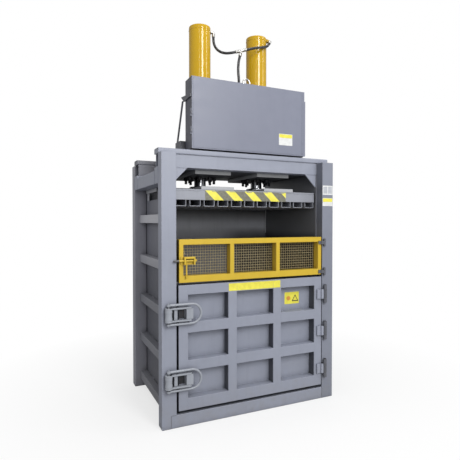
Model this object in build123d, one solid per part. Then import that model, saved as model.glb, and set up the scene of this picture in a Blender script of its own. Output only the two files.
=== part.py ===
from build123d import *
import os
from math import cos, pi, radians, sin, tan

# Twin-cylinder vertical recycling baler. Sizes in millimetres. X runs to the right seen from the
# front, Y to the back, Z up. The origin is on the floor, at the centre of the four posts' outline.

# Main frame
frame_width = 1500.0
frame_depth = 1000.0
post_height = 2000.0
post_width = 110.0
front_post_depth = 88.0
rear_post_depth = 94.0
post_wall = 8.0
rear_web = 10.0

# Base, floor and sill
sill_height = 95.0
sill_wall = 8.0
sill_notch = 40.0
bearer_count = 5
bearer_width = 80.0
bearer_inset = 40.0
bearer_wall = 6.0
floor_sheet = 10.0

# Strap bars on the floor and strap channels under the platen
strap_count = 11
strap_inset = 7.0
strap_width = 88.0
strap_bar_height = 40.0
strap_channel_height = 48.0
strap_wall = 5.0

# Chamber walls and their ribs
wall_sheet = 6.0
side_wall_bottom = 62.0
rear_wall_inset = 60.0
rear_wall_drop = 80.0
rib_count = 5
rib_first_z = 103.0
rib_last_drop = 258.0
rib_height = 70.0
rib_depth = 60.0
rib_wall = 5.0
window_rear_gap = 119.0
window_length = 268.0
window_drop = 95.0
window_height = 66.0
window_frame_width = 40.0
window_frame_tail = 95.0
window_frame_sheet = 10.0

# Header beams and deck
cap_height = 40.0
cap_overhang = 10.0
cap_wall = 6.0
header_web_height = 97.0
header_width = 105.0
header_wall = 8.0
header_end_recess = 12.0
side_header_height = 100.0
side_header_drop = 22.0
side_header_wall = 6.0
gusset_run = 110.0
gusset_drop = 113.0
gusset_sheet = 12.0
deck_sheet = 15.0
seat_width = 305.0
seat_sheet = 30.0

# Press cylinders
cylinder_x = 273.0
barrel_radius = 92.0
bore_radius = 74.0
rod_radius = 50.0
running_clearance = 0.05
rod_hole_clearance = 3.0
barrel_top = 3124.0
barrel_cap_height = 30.0
barrel_cap_chamfer = 4.0
flange_radius = 145.0
flange_sheet = 30.0
gland_height = 60.0
piston_height = 60.0
piston_gap = 14.0
bolt_count = 8
bolt_circle_radius = 120.0
bolt_radius = 12.0
bolt_clearance = 0.5
bolt_head_across = 36.0
bolt_head_height = 15.0
bolt_nut_height = 22.0
bolt_tail = 29.0
port_radius = 8.0
port_rise = 14.0
port_depth = 40.0
port_reach = 34.0
port_body_radius = 15.0
port_nut_across = 34.0
port_nut_length = 14.0
left_port_angle = 0.0
right_port_angle = -24.0
left_elbow_arm = (0.0, 0.0, -38.0)
right_elbow_arm = (-21.0, -19.0, -31.0)

# Platen
platen_front_gap = 12.0
platen_rear_gap = 6.0
platen_side_gap = 8.0
platen_drop = 238.0
platen_tray_height = 70.0
platen_top_sheet = 12.0
platen_sheet = 12.0
platen_pocket_columns = 6
platen_pocket_rows = 4
pad_width = 275.0
pad_sheet = 25.0
rod_foot_radius = 90.0
rod_foot_height = 25.0

# Bale door
door_sill_gap = 23.0
door_height = 919.0
door_left_gap = 16.0
door_right_gap = 6.0
door_frame_depth = 78.0
door_frame_wall = 5.0
door_plate_sheet = 10.0
door_plate_inset = 4.0
door_bottom_rail = 86.0
door_top_rail = 72.0
door_middle_rail = 79.0
door_upright = 72.25
recess_count = 3

# Door hinges
hinge_offset_x = 20.0
hinge_offset_y = 16.0
hinge_barrel_radius = 15.0
hinge_pin_radius = 8.0
hinge_pin_head = 4.0
hinge_pin_head_ratio = 1.5
hinge_total_height = 152.0
hinge_leaf_height = 79.0
hinge_leaf_length = 77.0
hinge_leaf_sheet = 14.0
hinge_end_gap = 0.5
hinge_neck_relief = 2.0
hinge_top_inset = 146.0
hinge_bottom_inset = 143.0
hinge_middle_shift = 6.0

# Door latches
latch_top_inset = 203.0
latch_bottom_inset = 238.0
latch_block_inset = 47.0
latch_block_width = 53.0
latch_block_height = 76.0
latch_block_depth = 40.0
latch_depth = 32.0
latch_pin_inset = 27.0
latch_pin_radius = 6.0
latch_barrel_offset = 68.0
latch_barrel_radius = 26.0
latch_bar_height = 12.0
latch_bar_depth = 26.0
latch_bar_gap = 0.5
handle_rod_radius = 9.0
handle_half_height = 70.0
handle_bend_offset = 17.0
handle_eye_radius = 14.0
handle_eye_height = 14.0
keeper_offset = 28.0
keeper_width = 26.0
keeper_height = 76.0
keeper_depth = 34.0

# Feed gate
gate_door_gap = 18.0
gate_height = 316.0
gate_left_gap = 21.0
gate_right_gap = 9.0
gate_depth = 65.0
gate_wall = 3.0
gate_stile = 33.0
gate_mullion = 34.0
gate_top_rail = 40.0
gate_bottom_rail = 49.0
gate_windows = 3
mesh_sheet = 3.0
mesh_overlap = 8.0
mesh_columns = 12
mesh_rows = 8
mesh_wire = 5.0
gate_hinge_offset_x = 16.0
gate_hinge_offset_y = 12.0
gate_hinge_radius = 10.0
gate_hinge_pin_radius = 5.0
gate_hinge_top_inset = 47.0
gate_hinge_bottom_inset = 25.0
gate_hinge_height = 60.0
gate_hinge_leaf_height = 28.0
gate_hinge_leaf_length = 56.0
gate_hinge_leaf_sheet = 8.0

# Gate bolt
bolt_bar_radius = 8.0
bolt_bar_overhang = 26.0
bolt_bar_reach = 127.0
bolt_bar_rise = 161.0
bolt_bar_depth = 17.0
bolt_plate_sheet = 5.0
bolt_plate_inset = 9.0
bolt_lug_inset = 30.0
bolt_lug_sheet = 11.0
bolt_lug_spacing = 73.0
bolt_lug_height = 58.0
bolt_lug_depth = 27.0
bolt_cover_height = 15.0
bolt_handle_inset = 50.0
bolt_handle_radius = 6.0
bolt_handle_length = 126.0

# Power cabinet
cabinet_left = -495.0
cabinet_width = 1002.0
cabinet_foot_height = 10.0
cabinet_height = 540.0
cabinet_front_overhang = 3.0
cabinet_depth = 148.0
cabinet_sheet = 3.0
cabinet_door_gap = 0.5
cabinet_right_strip = 13.0
cabinet_foot_radius = 20.0
cabinet_foot_inset = 90.0
cabinet_hinge_offset = 7.0
cabinet_hinge_radius = 6.0
cabinet_hinge_pin_radius = 3.0
cabinet_hinge_height = 60.0
cabinet_hinge_rises = (267.0, 131.0)
cabinet_stiffener_inset = 22.0
cabinet_stiffener_width = 30.0
cabinet_stiffener_depth = 9.0
duct_width = 28.0
duct_depth = 40.0
duct_height = 457.0
duct_front_inset = 60.0
stay_sheet = 10.0
stay_bar_width = 22.0
stay_back_gap = 21.0
stay_top_drop = 151.0
stay_run = 241.0
bracket_front_inset = 12.0
bracket_front_thickness = 21.0
bracket_drop = 131.0
bracket_knee_gap = 14.0
bracket_knee_drop = 156.0
bracket_tip_gap = 84.0
bracket_tip_drop = 104.0
prop_width = 60.0
prop_back_gap = 15.0
prop_depth = 123.0
prop_height = 212.0
prop_wall = 5.0

# Hydraulic unit inside the cabinet
tank_left = -480.0
tank_width = 520.0
tank_depth = 112.0
tank_height = 247.0
tank_sheet = 4.0
tank_back_gap = 8.0
lid_sheet = 8.0
motor_x = -300.0
motor_radius = 50.0
motor_height = 170.0
motor_flange_radius = 53.0
motor_flange_height = 12.0
fan_cover_radius = 52.0
fan_cover_height = 34.0
pump_radius = 36.0
pump_height = 130.0
manifold_left = -120.0
manifold_width = 120.0
manifold_depth = 80.0
manifold_height = 82.0
coil_radius = 17.0
coil_length = 44.0
panel_left = 90.0
panel_width = 360.0
panel_rise = 60.0
panel_height = 400.0
panel_sheet = 3.0
gear_count = 5
gear_width = 48.0
gear_pitch = 66.0
gear_height = 84.0
gear_depth = 70.0
gear_rows = 2
gear_row_pitch = 180.0
cable_gland_x = 420.0
cable_gland_rise = 70.0
cable_gland_bore = 11.0
cable_gland_radius = 17.0
cable_gland_length = 30.0

# Pipes at the cabinet's top: the pressure outlet through its back and a bent pipe over its roof
feed_x = -16.0
feed_pipe_radius = 9.0
feed_wall_drop = 25.0
feed_reach = 37.0
feed_rise = 61.0
arch_pipe_radius = 7.0
arch_span = 58.0
arch_leg = 32.0
arch_left_x = -31.0
arch_inset = 75.0
arch_union_across = 21.0

# Hydraulic hoses and their tee. Each hose leaves its ferrule in line with it.
hose_diameter = 22.0
hose_arc_share = 0.45
ferrule_radius = 14.0
ferrule_length = 30.0
tee_radius = 14.0
tee_centre = (56.0, -132.0, 2968.0)
tee_arm = 20.0
tee_arm_radius = 12.0
tee_run = (0.93, -0.27, 0.25)
tee_branch = (-0.24, 0.0, -0.97)
left_hose_lead = 38.0
left_hose_middle = (
    (-139.0, -8.0, 3023.0), (-126.0, -29.0, 2987.0), (-102.0, -57.0, 2958.0), (-68.0, -85.0, 2944.0),
)
right_hose_lead = 34.0
right_hose_middle = (
    (176.0, -160.0, 3002.0), (226.0, -149.0, 3018.0), (275.0, -130.0, 3036.0), (320.0, -105.0, 3058.0),
)
feed_hose_lead = 34.0
feed_hose_middle = (
    (27.0, -140.0, 2851.0), (11.0, -168.0, 2799.0), (-3.0, -200.0, 2747.0), (-13.0, -230.0, 2697.0),
)

# Places worked out from the sizes above
half_width = frame_width / 2
front_y = -frame_depth / 2
back_y = frame_depth / 2
post_inner_x = half_width - post_width
front_inner_y = front_y + front_post_depth
rear_web_y = back_y - rear_post_depth
chamber_x = post_inner_x - wall_sheet
rear_wall_y = rear_web_y + rear_wall_inset
rear_wall_back = rear_wall_y + wall_sheet
header_bottom = post_height - header_web_height
header_back_y = front_inner_y + header_width
rear_header_y = rear_web_y - header_width - cap_overhang
cap_top = post_height + cap_height
deck_top = header_bottom + deck_sheet
seat_bottom = header_bottom - seat_sheet
side_header_top = header_bottom - side_header_drop
side_header_bottom = side_header_top - side_header_height
rib_pitch = (side_header_bottom - rib_last_drop - rib_first_z) / (rib_count - 1)
bearer_pitch = 2 * (post_inner_x - bearer_inset - bearer_width / 2) / (bearer_count - 1)
window_front_y = rear_web_y - window_rear_gap - window_length
window_bottom = side_header_bottom - window_drop
rear_wall_top = header_bottom - rear_wall_drop
floor_top = sill_height + floor_sheet
flange_top = deck_top + flange_sheet
gland_top = deck_top + gland_height
piston_top = barrel_top - piston_gap
piston_bottom = piston_top - piston_height
platen_front_y = front_inner_y + platen_front_gap
platen_rear_y = rear_wall_y - platen_rear_gap
platen_x = chamber_x - platen_side_gap
platen_bottom = header_bottom - platen_drop
strap_pitch = (2 * (platen_x - strap_inset) - strap_width) / (strap_count - 1)
platen_tray_top = platen_bottom + platen_tray_height
platen_top = platen_tray_top + platen_top_sheet
pad_top = platen_top + pad_sheet
door_left = -post_inner_x + door_left_gap
door_right = post_inner_x - door_right_gap
door_bottom = sill_height + door_sill_gap
door_top = door_bottom + door_height
door_plate_y = front_y + door_frame_depth
hinge_x = post_inner_x + hinge_offset_x
hinge_y = front_y - hinge_offset_y
top_hinge_z = door_top - hinge_top_inset
bottom_hinge_z = door_bottom + hinge_bottom_inset
hinge_centres = (top_hinge_z, (top_hinge_z + bottom_hinge_z) / 2 + hinge_middle_shift, bottom_hinge_z)
gate_bottom = door_top + gate_door_gap
gate_top = gate_bottom + gate_height
gate_left = -post_inner_x + gate_left_gap
gate_right = post_inner_x - gate_right_gap
gate_back_y = front_y + gate_depth
gate_hinge_x = post_inner_x + gate_hinge_offset_x
gate_hinge_y = front_y - gate_hinge_offset_y
gate_hinge_centres = (gate_top - gate_hinge_top_inset, gate_bottom + gate_hinge_bottom_inset)
bolt_bar_left = -post_inner_x - bolt_bar_overhang
bolt_bar_right = gate_left + bolt_bar_reach
bolt_bar_z = gate_bottom + bolt_bar_rise
bolt_plate_left = gate_left + bolt_plate_inset
bolt_lug_left = gate_left + bolt_lug_inset
bolt_handle_x = gate_left + bolt_handle_inset
latch_y = front_y - latch_depth
latch_centres = (door_top - latch_top_inset, door_bottom + latch_bottom_inset)
latch_block_left = door_left + latch_block_inset
latch_pin_x = latch_block_left + latch_pin_inset
latch_barrel_x = -post_inner_x - latch_barrel_offset
handle_bend_x = latch_pin_x + handle_bend_offset
keeper_left = -post_inner_x - keeper_offset
cabinet_front_y = front_inner_y - cap_overhang - cabinet_front_overhang
cabinet_right = cabinet_left + cabinet_width
cabinet_back_y = cabinet_front_y + cabinet_depth
cabinet_bottom = cap_top + cabinet_foot_height
cabinet_top = cabinet_bottom + cabinet_height
cabinet_hinge_centres = [cabinet_bottom + rise for rise in cabinet_hinge_rises]
panel_bottom = cabinet_bottom + panel_rise
cable_gland_z = cabinet_bottom + cable_gland_rise
port_z = barrel_top + port_rise
feed_wall_z = cabinet_top - feed_wall_drop
feed_outlet = (feed_x, cabinet_back_y + feed_reach, feed_wall_z + feed_rise)
lid_bottom = cabinet_bottom + cabinet_sheet + tank_height
lid_top = lid_bottom + lid_sheet


def block(x0, x1, y0, y1, z0, z1):
    """A rectangular solid between two opposite corners."""
    return Pos((x0 + x1) / 2, (y0 + y1) / 2, (z0 + z1) / 2) * Box(x1 - x0, y1 - y0, z1 - z0)


def tube_x(x0, x1, y0, y1, z0, z1, wall):
    """A rectangular tube along X, open at both ends."""
    return block(x0, x1, y0, y1, z0, z1) - block(x0, x1, y0 + wall, y1 - wall, z0 + wall, z1 - wall)


def tube_y(x0, x1, y0, y1, z0, z1, wall):
    """A rectangular tube along Y, open at both ends."""
    return block(x0, x1, y0, y1, z0, z1) - block(x0 + wall, x1 - wall, y0, y1, z0 + wall, z1 - wall)


def capped_tube_z(x0, x1, y0, y1, z0, z1, wall):
    """An upright rectangular tube, open below and closed at its top."""
    inside = block(x0 + wall, x1 - wall, y0 + wall, y1 - wall, z0, z1 - wall)
    return block(x0, x1, y0, y1, z0, z1) - inside


def pan(x0, x1, y0, y1, z0, z1, wall):
    """A folded pan, closed in front and at its four edges, open at its back."""
    inside = block(x0 + wall, x1 - wall, y0 + wall, y1, z0 + wall, z1 - wall)
    return block(x0, x1, y0, y1, z0, z1) - inside


def post(x, y, z0, z1, radius):
    """An upright cylinder between two heights."""
    return Pos(x, y, (z0 + z1) / 2) * Cylinder(radius, z1 - z0)


def ring(x, y, z0, z1, radius, hole):
    """An upright cylinder with a hole through it."""
    return post(x, y, z0, z1, radius) - post(x, y, z0, z1, hole)


def hexagon(x, y, z0, z1, across):
    """An upright hexagonal prism of the given size across its flats."""
    outline = RegularPolygon(across / 2, 6, major_radius=False)
    return Pos(x, y, z0) * extrude(outline, z1 - z0)


def both_sides(solid):
    """A solid and its mirror image across the middle plane."""
    return [solid, mirror(solid, about=Plane.YZ)]


def bar_between(start, end, radius):
    """A round bar from one point to another."""
    path = Line(start, end)
    section = Plane(origin=start, z_dir=path % 0) * Circle(radius)
    return sweep(section, path=path)


def save(name, *solids):
    """Write one node's solids, each kept as a solid of its own."""
    shape = solids[0] if len(solids) == 1 else Compound(children=list(solids))
    export_step(shape, f"parts/{name}.step")


def front_post():
    return capped_tube_z(-half_width, -post_inner_x, front_y, front_inner_y, 0, post_height, post_wall)


def sill():
    left = -post_inner_x - sill_notch
    return tube_x(left, post_inner_x, front_y, front_inner_y, 0, sill_height, sill_wall)


def left_front_post():
    notch_left = -post_inner_x - sill_notch
    notch = block(notch_left, -post_inner_x, front_y, front_inner_y, 0, sill_height)
    return front_post() - notch


def rear_post():
    """A channel whose web faces the front and whose flanges run to the back."""
    outer = block(-half_width, -post_inner_x, rear_web_y, back_y, 0, post_height)
    hollow = block(
        -half_width + post_wall, -post_inner_x - post_wall, rear_web_y + rear_web, back_y, 0, post_height
    )
    return outer - hollow


def floor_bearers():
    middle = (bearer_count - 1) / 2
    bearers = []
    for index in range(bearer_count):
        x = (index - middle) * bearer_pitch
        bearers.append(
            tube_y(x - bearer_width / 2, x + bearer_width / 2, front_inner_y, rear_wall_y,
                   0, sill_height, bearer_wall)
        )
    return bearers


def strap_places():
    middle = (strap_count - 1) / 2
    return [(index - middle) * strap_pitch for index in range(strap_count)]


def floor_strap_bars():
    front = front_inner_y + platen_front_gap
    half = strap_width / 2
    top = floor_top + strap_bar_height
    return [tube_y(x - half, x + half, front, platen_rear_y, floor_top, top, strap_wall)
            for x in strap_places()]


def side_wall():
    wall = block(-post_inner_x, -chamber_x, front_inner_y, rear_wall_back, side_wall_bottom, header_bottom)
    window = block(
        -post_inner_x, -chamber_x, window_front_y, window_front_y + window_length,
        window_bottom, window_bottom + window_height,
    )
    return wall - window


def window_frame():
    """A flat angle of plate over the window and down its rear edge."""
    outer_x = -post_inner_x - window_frame_sheet
    rear_edge = window_front_y + window_length
    top = window_bottom + window_height
    upper = block(outer_x, -post_inner_x, window_front_y, rear_edge + window_frame_tail,
                  top, side_header_bottom)
    rear = block(outer_x, -post_inner_x, rear_edge, rear_edge + window_frame_width,
                 window_bottom, top)
    return upper + rear


def side_ribs():
    ribs = []
    for index in range(rib_count):
        bottom = rib_first_z - rib_height / 2 + index * rib_pitch
        ribs.append(tube_y(-post_inner_x - rib_depth, -post_inner_x, front_inner_y, rear_web_y,
                           bottom, bottom + rib_height, rib_wall))
    return ribs


def rear_ribs():
    ribs = []
    for index in range(rib_count):
        bottom = rib_first_z - rib_height / 2 + index * rib_pitch
        ribs.append(tube_x(-post_inner_x, post_inner_x, rear_wall_back, rear_wall_back + rib_depth,
                           bottom, bottom + rib_height, rib_wall))
    return ribs


def header(y0, y1, cap_y0, cap_y1):
    """A cross beam: a box cap tube over two webs and a bottom flange, its webs set back at the ends."""
    web_x = half_width - header_end_recess
    cap = tube_x(-half_width, half_width, cap_y0, cap_y1, post_height, cap_top, cap_wall)
    front_web = block(-web_x, web_x, y0, y0 + header_wall, header_bottom, post_height)
    rear_web_plate = block(-web_x, web_x, y1 - header_wall, y1, header_bottom, post_height)
    bottom = block(-web_x, web_x, y0, y1, header_bottom, header_bottom + header_wall)
    return cap + front_web + rear_web_plate + bottom


def front_header():
    return header(front_inner_y, header_back_y, front_inner_y - cap_overhang, header_back_y)


def rear_header():
    return header(rear_header_y, rear_web_y, rear_header_y, rear_web_y)


def side_headers():
    """The long side beams and, under the ends of the cross beams, their short hangers."""
    beam = tube_y(-half_width, -post_inner_x, header_back_y, rear_header_y,
                  side_header_bottom, side_header_top, side_header_wall)
    front = capped_tube_z(-half_width, -post_inner_x, front_inner_y, header_back_y,
                          side_header_bottom, header_bottom, side_header_wall)
    rear = capped_tube_z(-half_width, -post_inner_x, rear_header_y, rear_web_y,
                         side_header_bottom, header_bottom, side_header_wall)
    return both_sides(beam) + both_sides(front) + both_sides(rear)


def header_gusset():
    """A triangle of plate between a post and the front header."""
    outline = Polyline(
        (-chamber_x, header_bottom), (-chamber_x + gusset_run, header_bottom),
        (-chamber_x, header_bottom - gusset_drop), close=True,
    )
    plane = Plane(origin=(0, front_inner_y, 0), x_dir=(1, 0, 0), z_dir=(0, -1, 0))
    return extrude(plane * make_face(outline), -gusset_sheet)


def bolt_places():
    """The eight bolt places round one cylinder, clear of the front and side lines."""
    step = 360.0 / bolt_count
    places = []
    for index in range(bolt_count):
        angle = radians(step * (index + 0.5))
        places.append((bolt_circle_radius * cos(angle), bolt_circle_radius * sin(angle)))
    return places


def drilled(solid, centre_x, z0, z1):
    """Cut one cylinder's rod hole and bolt holes through a plate."""
    solid -= post(centre_x, 0, z0, z1, rod_radius + rod_hole_clearance)
    for x, y in bolt_places():
        solid -= post(centre_x + x, y, z0, z1, bolt_radius + bolt_clearance)
    return solid


def deck_plate():
    plate = block(-post_inner_x, post_inner_x, header_back_y, rear_header_y, header_bottom, deck_top)
    for x in (-cylinder_x, cylinder_x):
        plate = drilled(plate, x, header_bottom, deck_top)
    return plate


def cylinder_seat():
    seat = block(-cylinder_x - seat_width / 2, -cylinder_x + seat_width / 2,
                 header_back_y, rear_header_y, seat_bottom, header_bottom)
    return drilled(seat, -cylinder_x, seat_bottom, header_bottom)


def flange_bolts():
    bolts = []
    for centre_x in (-cylinder_x, cylinder_x):
        for x, y in bolt_places():
            shank = post(centre_x + x, y, seat_bottom - bolt_nut_height - bolt_tail, flange_top, bolt_radius)
            head = hexagon(centre_x + x, y, flange_top, flange_top + bolt_head_height, bolt_head_across)
            nut = hexagon(centre_x + x, y, seat_bottom - bolt_nut_height, seat_bottom, bolt_head_across)
            bolts.append(shank + head + nut)
    return bolts


def barrel(centre_x):
    """A bored tube with a bolted flange at its foot."""
    body = post(centre_x, 0, deck_top, barrel_top, barrel_radius)
    body += post(centre_x, 0, deck_top, flange_top, flange_radius)
    body -= post(centre_x, 0, deck_top, barrel_top, bore_radius)
    for x, y in bolt_places():
        body -= post(centre_x + x, y, deck_top, flange_top, bolt_radius + bolt_clearance)
    return body


def barrel_cap(centre_x, port_angle):
    """The barrel's closed end, with a port that runs in from its side and down to the bore."""
    cap = post(centre_x, 0, barrel_top, barrel_top + barrel_cap_height, barrel_radius)
    cap = chamfer(cap.edges().group_by(Axis.Z)[-1], barrel_cap_chamfer)
    turn_x = barrel_radius - port_depth
    across = Pos(barrel_radius - port_depth / 2, 0, port_z) * Rot(0, 90, 0) * Cylinder(port_radius, port_depth)
    down = post(turn_x, 0, barrel_top, port_z, port_radius)
    passage = across + down + Pos(turn_x, 0, port_z) * Sphere(port_radius)
    return cap - Pos(centre_x, 0, 0) * Rot(0, 0, port_angle) * passage


def rod_gland(centre_x):
    return ring(centre_x, 0, deck_top, gland_top, bore_radius, rod_radius + running_clearance)


def elbow_knee(centre_x, port_angle):
    """The corner of an elbow, straight out from its port."""
    reach = barrel_radius + port_reach
    angle = radians(port_angle)
    return Vector(centre_x + reach * cos(angle), reach * sin(angle), port_z)


def port_elbow(centre_x, port_angle, arm):
    """An elbow screwed into the port, its arm turned down and ended by a hose ferrule."""
    stub = Pos(barrel_radius + port_reach / 2, 0, port_z) * Rot(0, 90, 0) * Cylinder(
        port_body_radius, port_reach)
    nut = Pos(barrel_radius + port_nut_length, 0, port_z) * Rot(0, 90, 0) * extrude(
        RegularPolygon(port_nut_across / 2, 6, major_radius=False), port_nut_length / 2, both=True)
    nose_inner = (bore_radius + barrel_radius) / 2
    nose_length = barrel_radius + port_nut_length / 2 - nose_inner
    nose = Pos(nose_inner + nose_length / 2, 0, port_z) * Rot(0, 90, 0) * Cylinder(
        port_radius, nose_length)
    barrel_space = post(0, 0, port_z - barrel_radius, port_z + barrel_radius, barrel_radius)
    body = Pos(centre_x, 0, 0) * Rot(0, 0, port_angle) * ((stub + nut - barrel_space) + nose)
    knee = elbow_knee(centre_x, port_angle)
    body += Pos(knee) * Sphere(port_body_radius)
    return body + bar_between(knee, knee + Vector(*arm), ferrule_radius)


def platen_tray():
    """The pressing plate: a floor with upstanding ribs between its pockets."""
    tray = block(-platen_x, platen_x, platen_front_y, platen_rear_y, platen_bottom, platen_tray_top)
    pocket_x = (2 * platen_x - platen_sheet) / platen_pocket_columns
    pocket_y = (platen_rear_y - platen_front_y - platen_sheet) / platen_pocket_rows
    for column in range(platen_pocket_columns):
        for row in range(platen_pocket_rows):
            x0 = -platen_x + platen_sheet + column * pocket_x
            y0 = platen_front_y + platen_sheet + row * pocket_y
            tray -= block(x0, x0 + pocket_x - platen_sheet, y0, y0 + pocket_y - platen_sheet,
                          platen_bottom + platen_sheet, platen_tray_top)
    return tray


def strap_channels():
    """Channels under the platen, open upwards against it and open at both ends."""
    half = strap_width / 2
    bottom = platen_bottom - strap_channel_height
    channels = []
    for x in strap_places():
        outer = block(x - half, x + half, platen_front_y, platen_rear_y, bottom, platen_bottom)
        inner = block(x - half + strap_wall, x + half - strap_wall, platen_front_y, platen_rear_y,
                      bottom + strap_wall, platen_bottom)
        channels.append(outer - inner)
    return channels


def rod_pad():
    return block(-cylinder_x - pad_width / 2, -cylinder_x + pad_width / 2,
                 platen_front_y, platen_rear_y, platen_top, pad_top)


def piston_rod(centre_x):
    foot = post(centre_x, 0, pad_top, pad_top + rod_foot_height, rod_foot_radius)
    return foot + post(centre_x, 0, pad_top, piston_bottom, rod_radius)


def piston(centre_x):
    return post(centre_x, 0, piston_bottom, piston_top, bore_radius - running_clearance)


def door_frame():
    """Four uprights and, between them, four rows of short rails round the recesses."""
    recess_width = (door_right - door_left - (recess_count + 1) * door_upright) / recess_count
    rails_height = door_bottom_rail + door_top_rail + (recess_count - 1) * door_middle_rail
    recess_height = (door_height - rails_height) / recess_count
    pitch_x = door_upright + recess_width
    pitch_z = door_middle_rail + recess_height
    pieces = []
    for column in range(recess_count + 1):
        x0 = door_left + column * pitch_x
        pieces.append(pan(x0, x0 + door_upright, front_y, door_plate_y, door_bottom, door_top,
                          door_frame_wall))
    rails = [(door_bottom, door_bottom + door_bottom_rail), (door_top - door_top_rail, door_top)]
    for row in range(recess_count - 1):
        z0 = door_bottom + door_bottom_rail + recess_height + row * pitch_z
        rails.append((z0, z0 + door_middle_rail))
    for column in range(recess_count):
        x0 = door_left + door_upright + column * pitch_x
        for z0, z1 in rails:
            pieces.append(pan(x0, x0 + recess_width, front_y, door_plate_y, z0, z1, door_frame_wall))
    return pieces


def door_plate():
    return block(door_left + door_plate_inset, door_right - door_plate_inset, door_plate_y,
                 door_plate_y + door_plate_sheet, door_bottom, door_top)


def hinge_leaf(x, y, z, radius, pin_radius, height, length, sheet, seat_right):
    """The moving half of a hinge: a bored knuckle and a leaf that lies on the door's face."""
    z0 = z - height / 2
    z1 = z + height / 2
    knuckle = ring(x, y, z0, z1, radius, pin_radius + running_clearance)
    leaf = block(x - length, seat_right, front_y - sheet, front_y, z0, z1)
    neck = block(seat_right - sheet, x, y - sheet / 2, y + sheet / 2, z0, z1)
    neck -= post(x, y, z0, z1, radius)
    neck -= block(seat_right, x, front_y - hinge_neck_relief, front_y + sheet, z0, z1)
    return knuckle + (leaf + neck)


def door_hinge_leaves():
    return [hinge_leaf(hinge_x, hinge_y, z, hinge_barrel_radius, hinge_pin_radius, hinge_leaf_height,
                       hinge_leaf_length, hinge_leaf_sheet, door_right) for z in hinge_centres]


def gate_hinge_leaves():
    return [hinge_leaf(gate_hinge_x, gate_hinge_y, z, gate_hinge_radius, gate_hinge_pin_radius,
                       gate_hinge_leaf_height, gate_hinge_leaf_length, gate_hinge_leaf_sheet, gate_right)
            for z in gate_hinge_centres]


def post_knuckles(x, y, z, radius, pin_radius, height, leaf_height):
    """The two fixed knuckles of a hinge, each on a pad welded to the post's face."""
    knuckles = []
    middle = leaf_height / 2 + hinge_end_gap
    for z0, z1 in ((z - height / 2, z - middle), (z + middle, z + height / 2)):
        body = post(x, y, z0, z1, radius)
        body += block(x - radius / 2, x + radius, y, front_y, z0, z1)
        knuckles.append(body - post(x, y, z0, z1, pin_radius))
    return knuckles


def post_hinge_knuckles():
    knuckles = []
    for z in hinge_centres:
        knuckles += post_knuckles(hinge_x, hinge_y, z, hinge_barrel_radius, hinge_pin_radius,
                                  hinge_total_height, hinge_leaf_height)
    for z in gate_hinge_centres:
        knuckles += post_knuckles(gate_hinge_x, gate_hinge_y, z, gate_hinge_radius,
                                  gate_hinge_pin_radius, gate_hinge_height, gate_hinge_leaf_height)
    return knuckles


def headed_pin(x, y, z0, z1, radius):
    return post(x, y, z0, z1, radius) + post(x, y, z1, z1 + hinge_pin_head, radius * hinge_pin_head_ratio)


def hinge_pins():
    pins = []
    for z in hinge_centres:
        half = hinge_total_height / 2
        pins.append(headed_pin(hinge_x, hinge_y, z - half, z + half, hinge_pin_radius))
    for z in gate_hinge_centres:
        half = gate_hinge_height / 2
        pins.append(headed_pin(gate_hinge_x, gate_hinge_y, z - half, z + half, gate_hinge_pin_radius))
    return pins


def latch_block(z):
    """The block on the door that carries the latch's pivot pin."""
    half = latch_block_height / 2
    body = block(latch_block_left, latch_block_left + latch_block_width,
                 front_y - latch_block_depth, front_y, z - half, z + half)
    pin_half = half + latch_bar_gap + latch_bar_height
    return body + post(latch_pin_x, latch_y, z - pin_half, z + pin_half, latch_pin_radius)


def latch_yoke(z):
    """Two bars that turn on the block's pin and hold the draw barrel and its pin at their other end."""
    pieces = []
    half = latch_block_height / 2 + latch_bar_gap
    pin_half = handle_half_height + handle_eye_height
    for z0 in (z + half, z - half - latch_bar_height):
        bar = block(latch_barrel_x, latch_pin_x, latch_y - latch_bar_depth / 2,
                    latch_y + latch_bar_depth / 2, z0, z0 + latch_bar_height)
        bar += post(latch_barrel_x, latch_y, z0, z0 + latch_bar_height, latch_barrel_radius)
        bar += post(latch_pin_x, latch_y, z0, z0 + latch_bar_height, latch_bar_depth / 2)
        bar -= post(latch_pin_x, latch_y, z0, z0 + latch_bar_height, latch_pin_radius + running_clearance)
        pieces.append(bar)
    barrel_body = post(latch_barrel_x, latch_y, z - half, z + half, latch_barrel_radius)
    pin = post(latch_barrel_x, latch_y, z - pin_half, z + pin_half, latch_pin_radius)
    return pieces[0] + pieces[1] + barrel_body + pin


def latch_handle(z):
    """A round bar bent to a U, its two ends welded to eyes on the draw barrel's pin."""
    top = z + handle_half_height
    bottom = z - handle_half_height
    path = Polyline((latch_barrel_x, latch_y, top), (handle_bend_x, latch_y, top))
    path += ThreePointArc((handle_bend_x, latch_y, top),
                          (handle_bend_x + handle_half_height, latch_y, z),
                          (handle_bend_x, latch_y, bottom))
    path += Polyline((handle_bend_x, latch_y, bottom), (latch_barrel_x, latch_y, bottom))
    start = Plane(origin=(latch_barrel_x, latch_y, top), z_dir=(1, 0, 0))
    handle = sweep(start * Circle(handle_rod_radius), path=path)
    half_eye = handle_eye_height / 2
    for z0 in (top, bottom):
        handle += post(latch_barrel_x, latch_y, z0 - half_eye, z0 + half_eye, handle_eye_radius)
        handle -= post(latch_barrel_x, latch_y, z0 - half_eye - handle_rod_radius,
                       z0 + half_eye + handle_rod_radius, latch_pin_radius + running_clearance)
    return handle


def latch_keeper(z):
    half = keeper_height / 2
    return block(keeper_left, keeper_left + keeper_width, front_y - keeper_depth, front_y,
                 z - half, z + half)


def gate_window_width():
    inner = gate_right - gate_left - 2 * gate_stile - (gate_windows - 1) * gate_mullion
    return inner / gate_windows


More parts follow.
